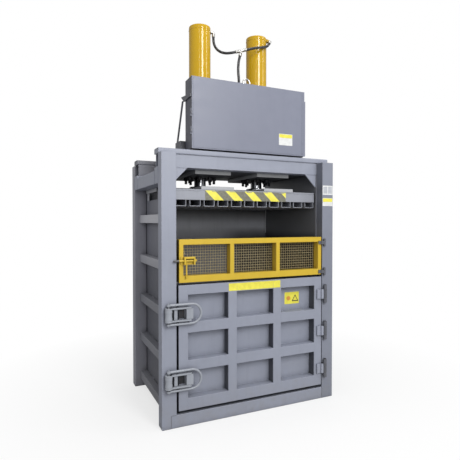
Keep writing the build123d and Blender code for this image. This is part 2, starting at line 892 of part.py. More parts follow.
def gate_frame():
    """Rectangular tube: two stiles, two rails and the short mullions between the windows."""
    inner_left = gate_left + gate_stile
    inner_right = gate_right - gate_stile
    top_rail_bottom = gate_top - gate_top_rail
    bottom_rail_top = gate_bottom + gate_bottom_rail
    pieces = [
        capped_tube_z(gate_left, inner_left, front_y, gate_back_y, gate_bottom, gate_top, gate_wall),
        capped_tube_z(inner_right, gate_right, front_y, gate_back_y, gate_bottom, gate_top, gate_wall),
        tube_x(inner_left, inner_right, front_y, gate_back_y, top_rail_bottom, gate_top, gate_wall),
        tube_x(inner_left, inner_right, front_y, gate_back_y, gate_bottom, bottom_rail_top, gate_wall),
    ]
    for index in range(1, gate_windows):
        x0 = inner_left + index * gate_window_width() + (index - 1) * gate_mullion
        pieces.append(capped_tube_z(x0, x0 + gate_mullion, front_y, gate_back_y,
                                    bottom_rail_top, top_rail_bottom, gate_wall))
    return pieces


def gate_mesh():
    """A welded grid behind each window, lapped on to the frame's back."""
    panels = []
    z0 = gate_bottom + gate_bottom_rail
    z1 = gate_top - gate_top_rail
    width = gate_window_width()
    pitch_x = (width - mesh_wire) / mesh_columns
    pitch_z = (z1 - z0 - mesh_wire) / mesh_rows
    for index in range(gate_windows):
        x0 = gate_left + gate_stile + index * (width + gate_mullion)
        outline = Pos(x0 + width / 2, (z0 + z1) / 2) * Rectangle(
            width + 2 * mesh_overlap, z1 - z0 + 2 * mesh_overlap)
        gaps = [
            Pos(x0 + mesh_wire / 2 + (column + 0.5) * pitch_x, z0 + mesh_wire / 2 + (row + 0.5) * pitch_z)
            * Rectangle(pitch_x - mesh_wire, pitch_z - mesh_wire)
            for column in range(mesh_columns) for row in range(mesh_rows)
        ]
        plane = Plane(origin=(0, gate_back_y, 0), x_dir=(1, 0, 0), z_dir=(0, -1, 0))
        panels.append(extrude(plane * (outline - gaps), -mesh_sheet))
    return panels


def gate_bolt_housing():
    """A plate on the stile with two bored lugs and a strip over them."""
    half = bolt_lug_height / 2
    plate_front = front_y - bolt_plate_sheet
    lug_front = plate_front - bolt_lug_depth
    right = bolt_lug_left + bolt_lug_spacing + bolt_lug_sheet
    bar_y = plate_front - bolt_bar_depth + bolt_plate_sheet
    body = block(bolt_plate_left, right, plate_front, front_y, bolt_bar_z - half, bolt_bar_z + half)
    for x0 in (bolt_lug_left, bolt_lug_left + bolt_lug_spacing):
        body += block(x0, x0 + bolt_lug_sheet, lug_front, plate_front,
                      bolt_bar_z - half, bolt_bar_z + half)
    body += block(bolt_lug_left, right, lug_front, plate_front,
                  bolt_bar_z + half - bolt_cover_height, bolt_bar_z + half)
    bore = Pos((bolt_lug_left + right) / 2, bar_y, bolt_bar_z) * Rot(0, 90, 0) * Cylinder(
        bolt_bar_radius + running_clearance, 2 * (right - bolt_lug_left))
    return body - bore


def gate_bolt():
    """The sliding bar with its hanging finger rod."""
    bar_y = front_y - bolt_bar_depth
    length = bolt_bar_right - bolt_bar_left
    bar = Pos((bolt_bar_left + bolt_bar_right) / 2, bar_y, bolt_bar_z) * Rot(0, 90, 0) * Cylinder(
        bolt_bar_radius, length)
    return bar + post(bolt_handle_x, bar_y, bolt_bar_z - bolt_handle_length, bolt_bar_z, bolt_handle_radius)


def cabinet_shell():
    """A folded steel box, open in front, on four round feet."""
    front = cabinet_front_y + cabinet_sheet + cabinet_door_gap
    shell = block(cabinet_left, cabinet_right, front, cabinet_back_y, cabinet_bottom, cabinet_top)
    shell -= block(cabinet_left + cabinet_sheet, cabinet_right - cabinet_sheet, front,
                   cabinet_back_y - cabinet_sheet, cabinet_bottom + cabinet_sheet,
                   cabinet_top - cabinet_sheet)
    shell += block(cabinet_right - cabinet_right_strip, cabinet_right, cabinet_front_y, front + cabinet_sheet,
                   cabinet_bottom, cabinet_top)
    foot_y = (front_inner_y - cap_overhang + header_back_y) / 2
    for x in (cabinet_left + cabinet_foot_inset, cabinet_right - cabinet_foot_inset):
        shell += post(x, foot_y, cap_top, cabinet_bottom, cabinet_foot_radius)
    through_sheet = 4 * cabinet_sheet
    shell -= Pos(feed_x, cabinet_back_y, feed_wall_z) * Rot(90, 0, 0) * Cylinder(
        feed_pipe_radius, through_sheet)
    shell -= Pos(cable_gland_x, cabinet_back_y, cable_gland_z) * Rot(90, 0, 0) * Cylinder(
        cable_gland_bore, through_sheet)
    return shell


def cabinet_door():
    """The front panel with a stiffening frame behind it and a hinge knuckle at each hinge."""
    right = cabinet_right - cabinet_right_strip - cabinet_door_gap
    back = cabinet_front_y + cabinet_sheet
    panel = block(cabinet_left, right, cabinet_front_y, back, cabinet_bottom, cabinet_top)
    inset = cabinet_stiffener_inset
    width = cabinet_stiffener_width
    frame = block(cabinet_left + inset, right - inset, back, back + cabinet_stiffener_depth,
                  cabinet_bottom + inset, cabinet_top - inset)
    frame -= block(cabinet_left + inset + width, right - inset - width, back,
                   back + cabinet_stiffener_depth, cabinet_bottom + inset + width,
                   cabinet_top - inset - width)
    door = panel + frame
    third = cabinet_hinge_height / 6
    for z in cabinet_hinge_centres:
        x = cabinet_left - cabinet_hinge_offset
        y = cabinet_front_y
        hub = post(x, y, z - third, z + third, cabinet_hinge_radius)
        hub += block(x, cabinet_left + cabinet_hinge_offset, y - cabinet_hinge_radius, y,
                     z - third, z + third)
        door += hub - post(x, y, z - third, z + third, cabinet_hinge_pin_radius + running_clearance)
    return door


def cabinet_hinges():
    """The fixed knuckles on the cabinet's side, each pair with its pin."""
    third = cabinet_hinge_height / 6
    half = cabinet_hinge_height / 2
    x = cabinet_left - cabinet_hinge_offset
    y = cabinet_front_y
    side_y = y + cabinet_sheet + cabinet_door_gap
    pieces = []
    for z in cabinet_hinge_centres:
        pin = post(x, y, z - half, z + half, cabinet_hinge_pin_radius)
        for z0, z1 in ((z - half, z - third - hinge_end_gap), (z + third + hinge_end_gap, z + half)):
            pin += post(x, y, z0, z1, cabinet_hinge_radius)
            pin += block(x, cabinet_left, side_y, side_y + 3 * cabinet_hinge_radius, z0, z1)
            pin += block(x - cabinet_hinge_radius / 2, x + cabinet_hinge_radius / 2, y, side_y, z0, z1)
        pieces.append(pin)
    return pieces


def cable_duct():
    front = cabinet_front_y + duct_front_inset
    bottom = cabinet_bottom + cabinet_sheet
    return capped_tube_z(cabinet_right, cabinet_right + duct_width, front, front + duct_depth,
                         bottom, bottom + duct_height, cabinet_sheet)


def cabinet_stay():
    """A wedge bracket on the cabinet's side, a sloping flat bar to the deck and a short prop."""
    plane = Plane(origin=(cabinet_left, 0, 0), x_dir=(0, 1, 0), z_dir=(1, 0, 0))
    front = cabinet_front_y + bracket_front_inset
    front_top = cabinet_top - bracket_drop
    wedge = Polyline((front, front_top - bracket_front_thickness),
                     (cabinet_back_y + bracket_knee_gap, cabinet_top - bracket_knee_drop),
                     (cabinet_back_y + bracket_tip_gap, cabinet_top - bracket_tip_drop),
                     (front, front_top), close=True)
    bracket = extrude(plane * make_face(wedge), -stay_sheet)
    top_y = cabinet_back_y + stay_back_gap
    top_z = cabinet_top - stay_top_drop
    half = stay_bar_width / 2
    outline = Polyline((top_y - half, top_z), (top_y + half, top_z),
                       (top_y + half + stay_run, deck_top), (top_y - half + stay_run, deck_top), close=True)
    bar_plane = Plane(origin=(cabinet_left - stay_sheet, 0, 0), x_dir=(0, 1, 0), z_dir=(1, 0, 0))
    bar = extrude(bar_plane * make_face(outline), -stay_sheet)
    prop_x = cabinet_left - stay_sheet
    prop_front_y = cabinet_back_y + prop_back_gap
    prop = capped_tube_z(prop_x - prop_width / 2, prop_x + prop_width / 2, prop_front_y,
                         prop_front_y + prop_depth, deck_top, deck_top + prop_height, prop_wall)
    return [bracket, bar, prop]


def tank_span():
    """The oil tank's low and high corner along Y."""
    back = cabinet_back_y - cabinet_sheet - tank_back_gap
    return back - tank_depth, back


def oil_tank():
    y0, y1 = tank_span()
    bottom = cabinet_bottom + cabinet_sheet
    tank = block(tank_left, tank_left + tank_width, y0, y1, bottom, lid_bottom)
    return tank - block(tank_left + tank_sheet, tank_left + tank_width - tank_sheet,
                        y0 + tank_sheet, y1 - tank_sheet, bottom + tank_sheet, lid_bottom)


def tank_lid():
    y0, y1 = tank_span()
    return block(tank_left - tank_sheet, tank_left + tank_width + tank_sheet, y0, y1, lid_bottom, lid_top)


def unit_y():
    return sum(tank_span()) / 2


def pump_motor():
    """A flanged electric motor standing on the tank, under its fan cover."""
    flange_z = lid_top + motor_flange_height
    body_top = flange_z + motor_height
    motor = post(motor_x, unit_y(), lid_top, flange_z, motor_flange_radius)
    motor += post(motor_x, unit_y(), flange_z, body_top, motor_radius)
    return motor + post(motor_x, unit_y(), body_top, body_top + fan_cover_height, fan_cover_radius)


def oil_pump():
    return post(motor_x, unit_y(), lid_bottom - pump_height, lid_bottom, pump_radius)


def valve_manifold():
    """A drilled block with a solenoid coil on each side."""
    y0 = unit_y() - manifold_depth / 2
    top = lid_top + manifold_height
    body = block(manifold_left, manifold_left + manifold_width, y0, y0 + manifold_depth, lid_top, top)
    middle_z = (lid_top + top) / 2
    for x in (manifold_left - coil_length / 2, manifold_left + manifold_width + coil_length / 2):
        body += Pos(x, unit_y(), middle_z) * Rot(0, 90, 0) * Cylinder(coil_radius, coil_length)
    return body


def control_gear():
    """The mounting plate on the cabinet's back and two rows of switchgear on it."""
    back = cabinet_back_y - cabinet_sheet
    front = back - panel_sheet
    pieces = [block(panel_left, panel_left + panel_width, front, back, panel_bottom,
                    panel_bottom + panel_height)]
    margin = (panel_width - (gear_count - 1) * gear_pitch - gear_width) / 2
    row_margin = (panel_height - (gear_rows - 1) * gear_row_pitch - gear_height) / 2
    for row in range(gear_rows):
        for index in range(gear_count):
            x0 = panel_left + margin + index * gear_pitch
            z0 = panel_bottom + row_margin + row * gear_row_pitch
            pieces.append(block(x0, x0 + gear_width, front - gear_depth, front, z0, z0 + gear_height))
    return pieces


def feed_pipe():
    """The pressure outlet: up from the manifold, back through the cabinet's wall, up to a ferrule."""
    outlet_x, outlet_y, outlet_z = feed_outlet
    pipe = post(feed_x, unit_y(), lid_top + manifold_height, feed_wall_z, feed_pipe_radius)
    pipe += Pos(feed_x, unit_y(), feed_wall_z) * Sphere(feed_pipe_radius)
    pipe += bar_between((feed_x, unit_y(), feed_wall_z), (feed_x, outlet_y, feed_wall_z), feed_pipe_radius)
    nut = extrude(RegularPolygon(port_nut_across / 2, 6, major_radius=False), port_nut_length)
    pipe += Pos(feed_x, cabinet_back_y + port_nut_length, feed_wall_z) * Rot(90, 0, 0) * nut
    pipe += Pos(feed_x, outlet_y, feed_wall_z) * Sphere(ferrule_radius)
    return pipe + post(outlet_x, outlet_y, feed_wall_z, outlet_z, ferrule_radius)


def arch_pipe():
    """A short pipe bent over between two unions on the cabinet's top."""
    y = cabinet_front_y + arch_inset
    right_x = arch_left_x + arch_span
    shoulder = cabinet_top + arch_leg
    path = Polyline((arch_left_x, y, cabinet_top), (arch_left_x, y, shoulder))
    path += ThreePointArc((arch_left_x, y, shoulder),
                          ((arch_left_x + right_x) / 2, y, shoulder + arch_span / 2),
                          (right_x, y, shoulder))
    path += Polyline((right_x, y, shoulder), (right_x, y, cabinet_top))
    start = Plane(origin=(arch_left_x, y, cabinet_top), z_dir=(0, 0, 1))
    pipe = sweep(start * Circle(arch_pipe_radius), path=path)
    for x in (arch_left_x, right_x):
        pipe += hexagon(x, y, cabinet_top, cabinet_top + arch_leg / 2, arch_union_across)
    return pipe


def cable_gland():
    """A bored gland for the supply cable, seated on the cabinet's back."""
    middle = Pos(cable_gland_x, cabinet_back_y + cable_gland_length / 2, cable_gland_z) * Rot(90, 0, 0)
    return middle * Cylinder(cable_gland_radius, cable_gland_length) - middle * Cylinder(
        cable_gland_bore, cable_gland_length)


def tee_port(direction, distance=tee_arm + ferrule_length):
    """A point out along one of the tee's arms, by default the far face of its ferrule."""
    return Vector(*tee_centre) + direction.normalized() * distance


def hose_tee():
    """Three short arms about a ball, each ended by a crimped ferrule."""
    body = Pos(*tee_centre) * Sphere(tee_radius)
    for direction in (Vector(*tee_run), -Vector(*tee_run), Vector(*tee_branch)):
        body += bar_between(tee_centre, tee_port(direction), tee_arm_radius)
        body += bar_between(tee_port(direction, tee_arm), tee_port(direction), ferrule_radius)
    return body


def hose(name, start, start_axis, end, end_axis, lead, middle):
    """A round hose along straight runs joined by tangent arcs; prints its arcs and its volume."""
    led_out = Vector(*start) + start_axis.normalized() * lead
    led_in = Vector(*end) + end_axis.normalized() * lead
    corners = [Vector(*start), led_out, *[Vector(*p) for p in middle], led_in, Vector(*end)]
    runs = [(b - a).length for a, b in zip(corners, corners[1:])]
    radii = []
    for index in range(1, len(corners) - 1):
        turn = (corners[index] - corners[index - 1]).get_angle(corners[index + 1] - corners[index])
        radii.append(hose_arc_share * min(runs[index - 1], runs[index]) / tan(radians(turn) / 2))
    path = FilletPolyline(*corners, radius=radii)
    mouth = Plane(origin=corners[0], z_dir=start_axis)
    tube = sweep(mouth * Circle(hose_diameter / 2), path=path)
    expected = pi * (hose_diameter / 2) ** 2 * path.length
    print(name, "length", round(path.length, 1), "runs", [round(r) for r in runs],
          "radii in diameters", [round(r / hose_diameter, 1) for r in radii],
          "volume ratio", round(tube.volume / expected, 5))
    print("  points", [tuple(round(c, 1) for c in corner) for corner in corners])
    return tube


def left_hose():
    """From the left elbow, which points straight down, to the tee."""
    start = elbow_knee(-cylinder_x, left_port_angle) + Vector(*left_elbow_arm)
    tee_axis = -Vector(*tee_run)
    return hose("left_hose", start, Vector(*left_elbow_arm), tee_port(tee_axis), tee_axis,
                left_hose_lead, left_hose_middle)


def right_hose():
    """From the tee to the right elbow, which points down, forwards and to the left."""
    tee_axis = Vector(*tee_run)
    end = elbow_knee(cylinder_x, right_port_angle) + Vector(*right_elbow_arm)
    return hose("right_hose", tee_port(tee_axis), tee_axis, end, Vector(*right_elbow_arm),
                right_hose_lead, right_hose_middle)


def feed_hose():
    """From the tee's branch down to the pipe behind the cabinet."""
    tee_axis = Vector(*tee_branch)
    return hose("feed_hose", tee_port(tee_axis), tee_axis, feed_outlet, Vector(0, 0, 1),
                feed_hose_lead, feed_hose_middle)


os.makedirs("parts", exist_ok=True)

save("front_posts", left_front_post(), mirror(front_post(), about=Plane.YZ))
save("rear_posts", *both_sides(rear_post()))
save("sill", sill())
save("floor_bearers", *floor_bearers())
save("floor_plate", block(-chamber_x, chamber_x, front_inner_y, rear_wall_y, sill_height, floor_top))
save("floor_strap_bars", *floor_strap_bars())
save("side_walls", *both_sides(side_wall()))
save("rear_wall", block(-chamber_x, chamber_x, rear_wall_y, rear_wall_back, side_wall_bottom, rear_wall_top))
save("side_ribs", *[rib for one in side_ribs() for rib in both_sides(one)])
save("rear_ribs", *rear_ribs())
save("window_frames", *both_sides(window_frame()))
save("front_header", front_header())
save("rear_header", rear_header())
save("side_headers", *side_headers())
save("header_gussets", *both_sides(header_gusset()))
save("deck_plate", deck_plate())
save("cylinder_seats", *both_sides(cylinder_seat()))
save("flange_bolts", *flange_bolts())
save("cylinder_barrels", barrel(-cylinder_x), barrel(cylinder_x))
save("barrel_caps", barrel_cap(-cylinder_x, left_port_angle), barrel_cap(cylinder_x, right_port_angle))
save("rod_glands", rod_gland(-cylinder_x), rod_gland(cylinder_x))
save("port_elbows", port_elbow(-cylinder_x, left_port_angle, left_elbow_arm),
     port_elbow(cylinder_x, right_port_angle, right_elbow_arm))
save("cabinet_shell", cabinet_shell())
save("cabinet_hinges", *cabinet_hinges())
save("cabinet_door", cabinet_door())
save("cable_duct", cable_duct())
save("cabinet_stay", *cabinet_stay())
save("oil_tank", oil_tank())
save("tank_lid", tank_lid())
save("pump_motor", pump_motor())
save("oil_pump", oil_pump())
save("valve_manifold", valve_manifold())
save("control_gear", *control_gear())
save("cabinet_fittings", feed_pipe(), arch_pipe(), cable_gland())
save("hose_tee", hose_tee())
save("left_hose", left_hose())
save("right_hose", right_hose())
save("feed_hose", feed_hose())
save("post_hinge_knuckles", *post_hinge_knuckles())
save("hinge_pins", *hinge_pins())
save("latch_keepers", *[latch_keeper(z) for z in latch_centres])
save("door_frame", *door_frame())
save("door_plate", door_plate())
save("door_hinge_leaves", *door_hinge_leaves())
save("latch_blocks", *[latch_block(z) for z in latch_centres])
save("upper_latch_yoke", latch_yoke(latch_centres[0]))
save("lower_latch_yoke", latch_yoke(latch_centres[1]))
save("upper_latch_handle", latch_handle(latch_centres[0]))
save("lower_latch_handle", latch_handle(latch_centres[1]))
save("gate_frame", *gate_frame())
save("gate_mesh", *gate_mesh())
save("gate_hinge_leaves", *gate_hinge_leaves())
save("gate_bolt_housing", gate_bolt_housing())
save("gate_bolt", gate_bolt())
save("platen", platen_tray())
save("platen_top_plate", block(-platen_x, platen_x, platen_front_y, platen_rear_y,
                               platen_tray_top, platen_top))
save("strap_channels", *strap_channels())
save("rod_pads", *both_sides(rod_pad()))
save("piston_rods", piston_rod(-cylinder_x), piston_rod(cylinder_x))
save("pistons", piston(-cylinder_x), piston(cylinder_x))
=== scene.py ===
import math

import bpy
import numpy as np
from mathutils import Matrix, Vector


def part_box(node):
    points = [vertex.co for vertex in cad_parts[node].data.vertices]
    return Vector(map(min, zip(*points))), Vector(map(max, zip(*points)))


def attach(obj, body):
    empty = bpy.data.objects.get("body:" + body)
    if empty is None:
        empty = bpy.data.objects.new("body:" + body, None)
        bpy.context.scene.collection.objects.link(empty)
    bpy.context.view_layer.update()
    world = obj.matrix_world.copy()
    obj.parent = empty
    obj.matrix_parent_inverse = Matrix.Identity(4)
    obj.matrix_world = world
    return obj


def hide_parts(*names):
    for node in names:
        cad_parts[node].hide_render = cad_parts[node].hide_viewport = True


# A twin-cylinder vertical recycling baler, in metres: X to the right seen from the front, Y to the back,
# Z up. The frame's solids give the main places, and the pieces here give the machine its surfaces.
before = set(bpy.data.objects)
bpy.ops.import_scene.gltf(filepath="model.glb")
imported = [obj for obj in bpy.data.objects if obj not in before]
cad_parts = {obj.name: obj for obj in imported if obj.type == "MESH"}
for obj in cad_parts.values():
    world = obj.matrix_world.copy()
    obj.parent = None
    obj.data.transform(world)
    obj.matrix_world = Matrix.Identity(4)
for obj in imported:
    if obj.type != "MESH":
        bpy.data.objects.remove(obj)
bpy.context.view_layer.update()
MM = 0.001


# Reading the frame

def corners_of(node):
    """A node's lowest and highest corner as arrays."""
    low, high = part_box(node)
    return np.array(low), np.array(high)


def points_of(mesh):
    """A mesh's points, one in each row of an array."""
    points = np.zeros(len(mesh.vertices) * 3, np.float32)
    mesh.vertices.foreach_get("co", points)
    return points.reshape(-1, 3).astype(float)


def face_corners(mesh):
    """The numbers of the points round each face of a mesh, one face after another."""
    numbers = np.zeros(len(mesh.loops), np.int32)
    mesh.loops.foreach_get("vertex_index", numbers)
    return numbers


def solids(node):
    """The corners of each separate solid in a node, from left to right, front to back and bottom to top.
    Points of one triangle take the lowest of their labels, again and again, until no label changes."""
    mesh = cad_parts[node].data
    step = 0.01 * MM
    places, same = np.unique(np.round(points_of(mesh) / step).astype(int), axis=0, return_inverse=True)
    triangles = same.reshape(-1)[face_corners(mesh)].reshape(-1, 3)
    label = np.arange(len(places))
    changed = True
    while changed:
        fresh = label.copy()
        np.minimum.at(fresh, triangles, label[triangles].min(axis=1)[:, None])
        fresh = fresh[fresh]
        changed = bool((fresh != label).any())
        label = fresh
    places = places * step
    found = [(places[label == one].min(0), places[label == one].max(0)) for one in np.unique(label)]
    return sorted(found, key=lambda pair: tuple(np.round(pair[0], 4)))


# Places that several pieces share

post_low, post_high = corners_of("front_posts")
left_post, right_post = solids("front_posts")
sill_low, sill_high = corners_of("sill")
wall_low, wall_high = corners_of("rear_wall")
cap_low, cap_high = corners_of("front_header")
rear_cap_low, rear_cap_high = corners_of("rear_header")
beam_low = corners_of("side_headers")[0]
gusset_low, gusset_high = corners_of("header_gussets")
window_frame_low, window_frame_high = corners_of("window_frames")
platen_low, platen_high = corners_of("platen")
door_low, door_high = corners_of("door_frame")
gate_low, gate_high = corners_of("gate_frame")
cabinet_low, cabinet_high = corners_of("cabinet_shell")

half_width = post_high[0]
front_y = post_low[1]
post_inner_x = -left_post[1][0]
front_inner_y = post_high[1]
post_top = post_high[2]
sill_top = sill_high[2]
rear_web_y = corners_of("rear_posts")[0][1]
chamber_x = wall_high[0]
header_back_y = cap_high[1]
rear_header_y = rear_cap_low[1]
header_bottom = cap_low[2]
cap_top = cap_high[2]
deck_top = corners_of("deck_plate")[1][2]
seat_bottom = corners_of("cylinder_seats")[0][2]
tray_top = platen_high[2]
platen_top = corners_of("platen_top_plate")[1][2]
recess_y = door_high[1]
cabinet_front_y = cabinet_low[1]

# Sizes that several pieces share
header_end_recess = 12 * MM
header_wall = 8 * MM
cap_wall = 6 * MM
beam_top = header_bottom - 22 * MM
gusset_run = 110 * MM
cylinder_x = 273 * MM
barrel_radius = 92 * MM
flange_top = 1948 * MM


# Surfaces worked out on grids

AXES = {"x": (1, 2, 0), "y": (0, 2, 1), "z": (0, 1, 2)}


def unit(vectors):
    """Vectors divided by their own lengths."""
    return vectors / np.linalg.norm(vectors, axis=-1, keepdims=True)


def rounded(corners, radius, steps=4, closed=True):
    """A path with its corners turned into arcs. An arc starts and ends at radius divided by the tangent of
    half the corner's angle from the corner, and its points turn evenly about its centre."""
    points = np.array(corners, float)
    middle = points if closed else points[1:-1]
    before = np.roll(points, 1, 0) if closed else points[:-2]
    after = np.roll(points, -1, 0) if closed else points[2:]
    back, ahead = unit(before - middle), unit(after - middle)
    half = np.arccos(np.clip(np.sum(back * ahead, 1), -1, 1)) / 2
    size = np.broadcast_to(np.asarray(radius, float), half.shape)
    centre = middle + unit(back + ahead) * (size / np.sin(half))[:, None]
    start = middle + back * (size / np.tan(half))[:, None] - centre
    end = middle + ahead * (size / np.tan(half))[:, None] - centre
    turn = (np.pi - 2 * half)[:, None, None]
    share = np.linspace(0, 1, steps + 1)[None, :, None]
    arcs = np.sin((1 - share) * turn) * start[:, None] + np.sin(share * turn) * end[:, None]
    path = (centre[:, None] + arcs / np.sin(turn)).reshape(-1, points.shape[1])
    return path if closed else np.vstack([points[:1], path, points[-1:]])


def shrunk(outline, distances):
    """Copies of a closed outline moved inwards. Each point goes along the sum of its two sides' normals,
    divided by one plus their product, so that both sides move by the distance."""
    side = unit(np.roll(outline, -1, 0) - outline)
    normal = np.stack([-side[:, 1], side[:, 0]], 1)
    before = np.roll(normal, 1, 0)
    mitre = (normal + before) / (1 + np.sum(normal * before, 1))[:, None]
    return outline[None] + np.asarray(distances)[:, None, None] * mitre[None]


def skin(points, loop=False, flip=False):
    """Quads between neighbouring rings of a grid of points, whose rings are closed. The first and last
    ring are covered, or joined to each other in a loop."""
    rings, count = points.shape[:2]
    index = np.arange(rings * count).reshape(rings, count)
    if loop:
        index = np.vstack([index, index[:1]])
    beside = np.roll(index, -1, 1)
    quads = np.stack([index[:-1], beside[:-1], beside[1:], index[1:]], -1).reshape(-1, 4)
    faces = quads[:, ::-1].tolist() if flip else quads.tolist()
    if not loop:
        covers = [index[0, ::-1].tolist(), index[-1].tolist()]
        faces += [cover[::-1] for cover in covers] if flip else covers
    return points.reshape(-1, 3), faces


def carried(loops, places, axis):
    """Flat outlines set square to an axis, each at its own place along it."""
    u, v, w = AXES[axis]
    points = np.zeros(loops.shape[:2] + (3,))
    points[..., u] = loops[..., 0]
    points[..., v] = loops[..., 1]
    points[..., w] = np.asarray(places)[:, None]
    return points


def prism(outline, low, high, axis="z", edge=1.5 * MM, steps=2):
    """An outline carried along an axis. Near an end it shrinks by edge times one minus the sine of an angle
    and moves by edge times one minus the cosine: a quarter circle, so that the rims are round."""
    turn = np.linspace(0, np.pi / 2, steps + 1)
    shrink = edge * (1 - np.sin(turn))
    rise = edge * (1 - np.cos(turn))
    loops = shrunk(np.asarray(outline, float), np.r_[shrink, shrink[::-1]])
    places = np.r_[low + rise, (high - rise)[::-1]]
    return skin(carried(loops, places, axis), flip=axis == "y")


def rectangle(u0, u1, v0, v1):
    """The four corners of a rectangle, one after another."""
    return [(u0, v0), (u1, v0), (u1, v1), (u0, v1)]


def bar(low, high, axis="z", corner=3 * MM, edge=1.5 * MM, steps=3):
    """A box with round corners along an axis and round rims at its two ends."""
    u, v, w = AXES[axis]
    outline = rounded(rectangle(low[u], high[u], low[v], high[v]), corner, steps)
    return prism(outline, low[w], high[w], axis, edge)


# A bar's roundings: the radius of its corners along the axis, then that of the rims at its ends
thick_tube = (4 * MM, 2 * MM)
rolled_tube = (4 * MM, 1 * MM)
forged_block = (3 * MM, 1.5 * MM)
hinge_leaf = (2 * MM, 1.2 * MM)
flat_plate = (2 * MM, 1 * MM)
cut_plate = (1.5 * MM, 1 * MM)
thin_sheet = (1 * MM, 0.5 * MM)


def tube(low, high, axis, wall):
    """A rectangular tube with open ends: its outline goes along the outside, over the rim, back along the
    inside one wall further in, and over the other rim to where it began."""
    u, v, w = AXES[axis]
    rim = 0.7 * MM
    corner = wall * 1.4
    outline = rounded(rectangle(low[u], high[u], low[v], high[v]), corner, 3)
    insets = [rim, 0, 0, rim, wall - rim, wall, wall, wall - rim]
    places = [low[w], low[w] + rim, high[w] - rim, high[w], high[w], high[w] - rim, low[w] + rim, low[w]]
    return skin(carried(shrunk(outline, insets), places, axis), loop=True, flip=axis == "y")


def directions(along):
    """Two directions square to a given one and to each other."""
    along = unit(np.array(along, float))
    helper = np.array((0.0, 0.0, 1.0)) if abs(along[2]) < 0.9 else np.array((1.0, 0.0, 0.0))
    first = unit(np.cross(helper, along))
    return first, np.cross(along, first), along


def turned(profile, start, along=(0, 0, 1), steps=48, loop=False, radius_of_angle=None):
    """A profile of radius and height turned about an axis: the point at an angle lies at the start, plus
    the height along the axis, plus the radius times the cosine and the sine in the two cross directions.
    Another outline, such as a hexagon, multiplies the radius by a function of the angle and the height."""
    first, second, axis = directions(along)
    profile = np.array(profile, float)
    angle = np.linspace(0, 2 * np.pi, steps, endpoint=False)
    radius = np.repeat(profile[:, :1], steps, 1)
    if radius_of_angle is not None:
        radius = radius_of_angle(radius, angle[None, :])
    ring = np.cos(angle)[None, :, None] * first + np.sin(angle)[None, :, None] * second
    points = np.array(start, float) + profile[:, 1, None, None] * axis + radius[..., None] * ring
    return skin(points, loop=loop)


def round_rod(radius, low, high, edge=1 * MM):
    """The profile of a plain rod with rounded rims."""
    return [(radius - edge, low), (radius - edge * 0.3, low + edge * 0.3), (radius, low + edge),
            (radius, high - edge), (radius - edge * 0.3, high - edge * 0.3), (radius - edge, high)]


def swept(path, radius, reference, steps=14):
    """A circle carried along a path. Its sideways direction is the cross product of a reference direction
    and the path's own, which never run the same way. The radius may change along the path."""
    path = np.array(path, float)
    tangent = unit(np.gradient(path, axis=0))
    side = unit(np.cross(np.array(reference, float), tangent))
    up = np.cross(tangent, side)
    angle = np.linspace(0, 2 * np.pi, steps, endpoint=False)[None, :, None]
    size = np.broadcast_to(np.asarray(radius, float), (len(path),))[:, None, None]
    return skin(path[:, None] + size * (np.cos(angle) * side[:, None] + np.sin(angle) * up[:, None]))


def plate_with_holes(u_places, v_places, solid, low, high, axis):
    """A plate laid out on a net of lines: cells that are solid get a front and a back, and where a solid
    cell borders an empty one, or the outside, a wall closes it."""
    u_places, v_places = np.asarray(u_places, float), np.asarray(v_places, float)
    solid = np.asarray(solid, bool)
    columns, rows = len(u_places), len(v_places)
    grid = np.stack(np.meshgrid(u_places, v_places, indexing="ij"), -1).reshape(1, -1, 2)
    points = carried(np.repeat(grid, 2, 0), [low, high], axis).reshape(-1, 3)
    index = np.arange(2 * columns * rows).reshape(2, columns, rows)
    near, far = index
    around = np.pad(solid, 1)
    quads = []

    def add(mask, a, b, c, d):
        quads.append(np.stack([a[mask], b[mask], c[mask], d[mask]], -1))

    add(solid, near[:-1, :-1], near[1:, :-1], near[1:, 1:], near[:-1, 1:])
    add(solid, far[:-1, :-1], far[:-1, 1:], far[1:, 1:], far[1:, :-1])
    add(solid & ~around[2:, 1:-1], near[1:, :-1], far[1:, :-1], far[1:, 1:], near[1:, 1:])
    add(solid & ~around[:-2, 1:-1], near[:-1, :-1], near[:-1, 1:], far[:-1, 1:], far[:-1, :-1])
    add(solid & ~around[1:-1, 2:], near[:-1, 1:], near[1:, 1:], far[1:, 1:], far[:-1, 1:])
    add(solid & ~around[1:-1, :-2], near[:-1, :-1], far[:-1, :-1], far[1:, :-1], near[1:, :-1])
    faces = np.concatenate(quads)
    used, faces = np.unique(faces, return_inverse=True)
    faces = faces.reshape(-1, 4)
    return points[used], (faces if axis == "y" else faces[:, ::-1]).tolist()


def mirrored(shape):
    """The same shape on the other side of the middle plane, its faces turned to point outwards again."""
    points, faces = shape
    return points * np.array((-1.0, 1.0, 1.0)), [face[::-1] for face in faces]


def both_sides(shapes):
    """Shapes and, after them, their mirrored copies."""
    return list(shapes) + [mirrored(shape) for shape in shapes]


def hexagonal(across):
    """A radius rule: the distance to a hexagon's side is half its width across flats divided by the cosine
    of the angle from that side's middle."""
    def rule(radius, angle):
        """The smaller of a radius and the distance to the hexagon's side at an angle."""
        from_flat = np.mod(angle + np.pi / 6, np.pi / 3) - np.pi / 6
        return np.minimum(radius, across / 2 / np.cos(from_flat))
    return rule


def hex_nut(start, along, across, height):
    """A hexagon under a cone at each end, so that its corners are turned off."""
    flat = across / 2
    corner = flat / math.cos(math.pi / 6)
    chamfer = (corner - flat) * 0.9
    drop = chamfer * 0.6
    profile = [(flat - 1 * MM, 0), (flat, 0.2 * MM), (corner - chamfer * 0.5, drop * 0.5), (corner, drop)]
    profile += [(radius, height - place) for radius, place in reversed(profile)]
    return turned(profile, start, along, steps=36, radius_of_angle=hexagonal(across))


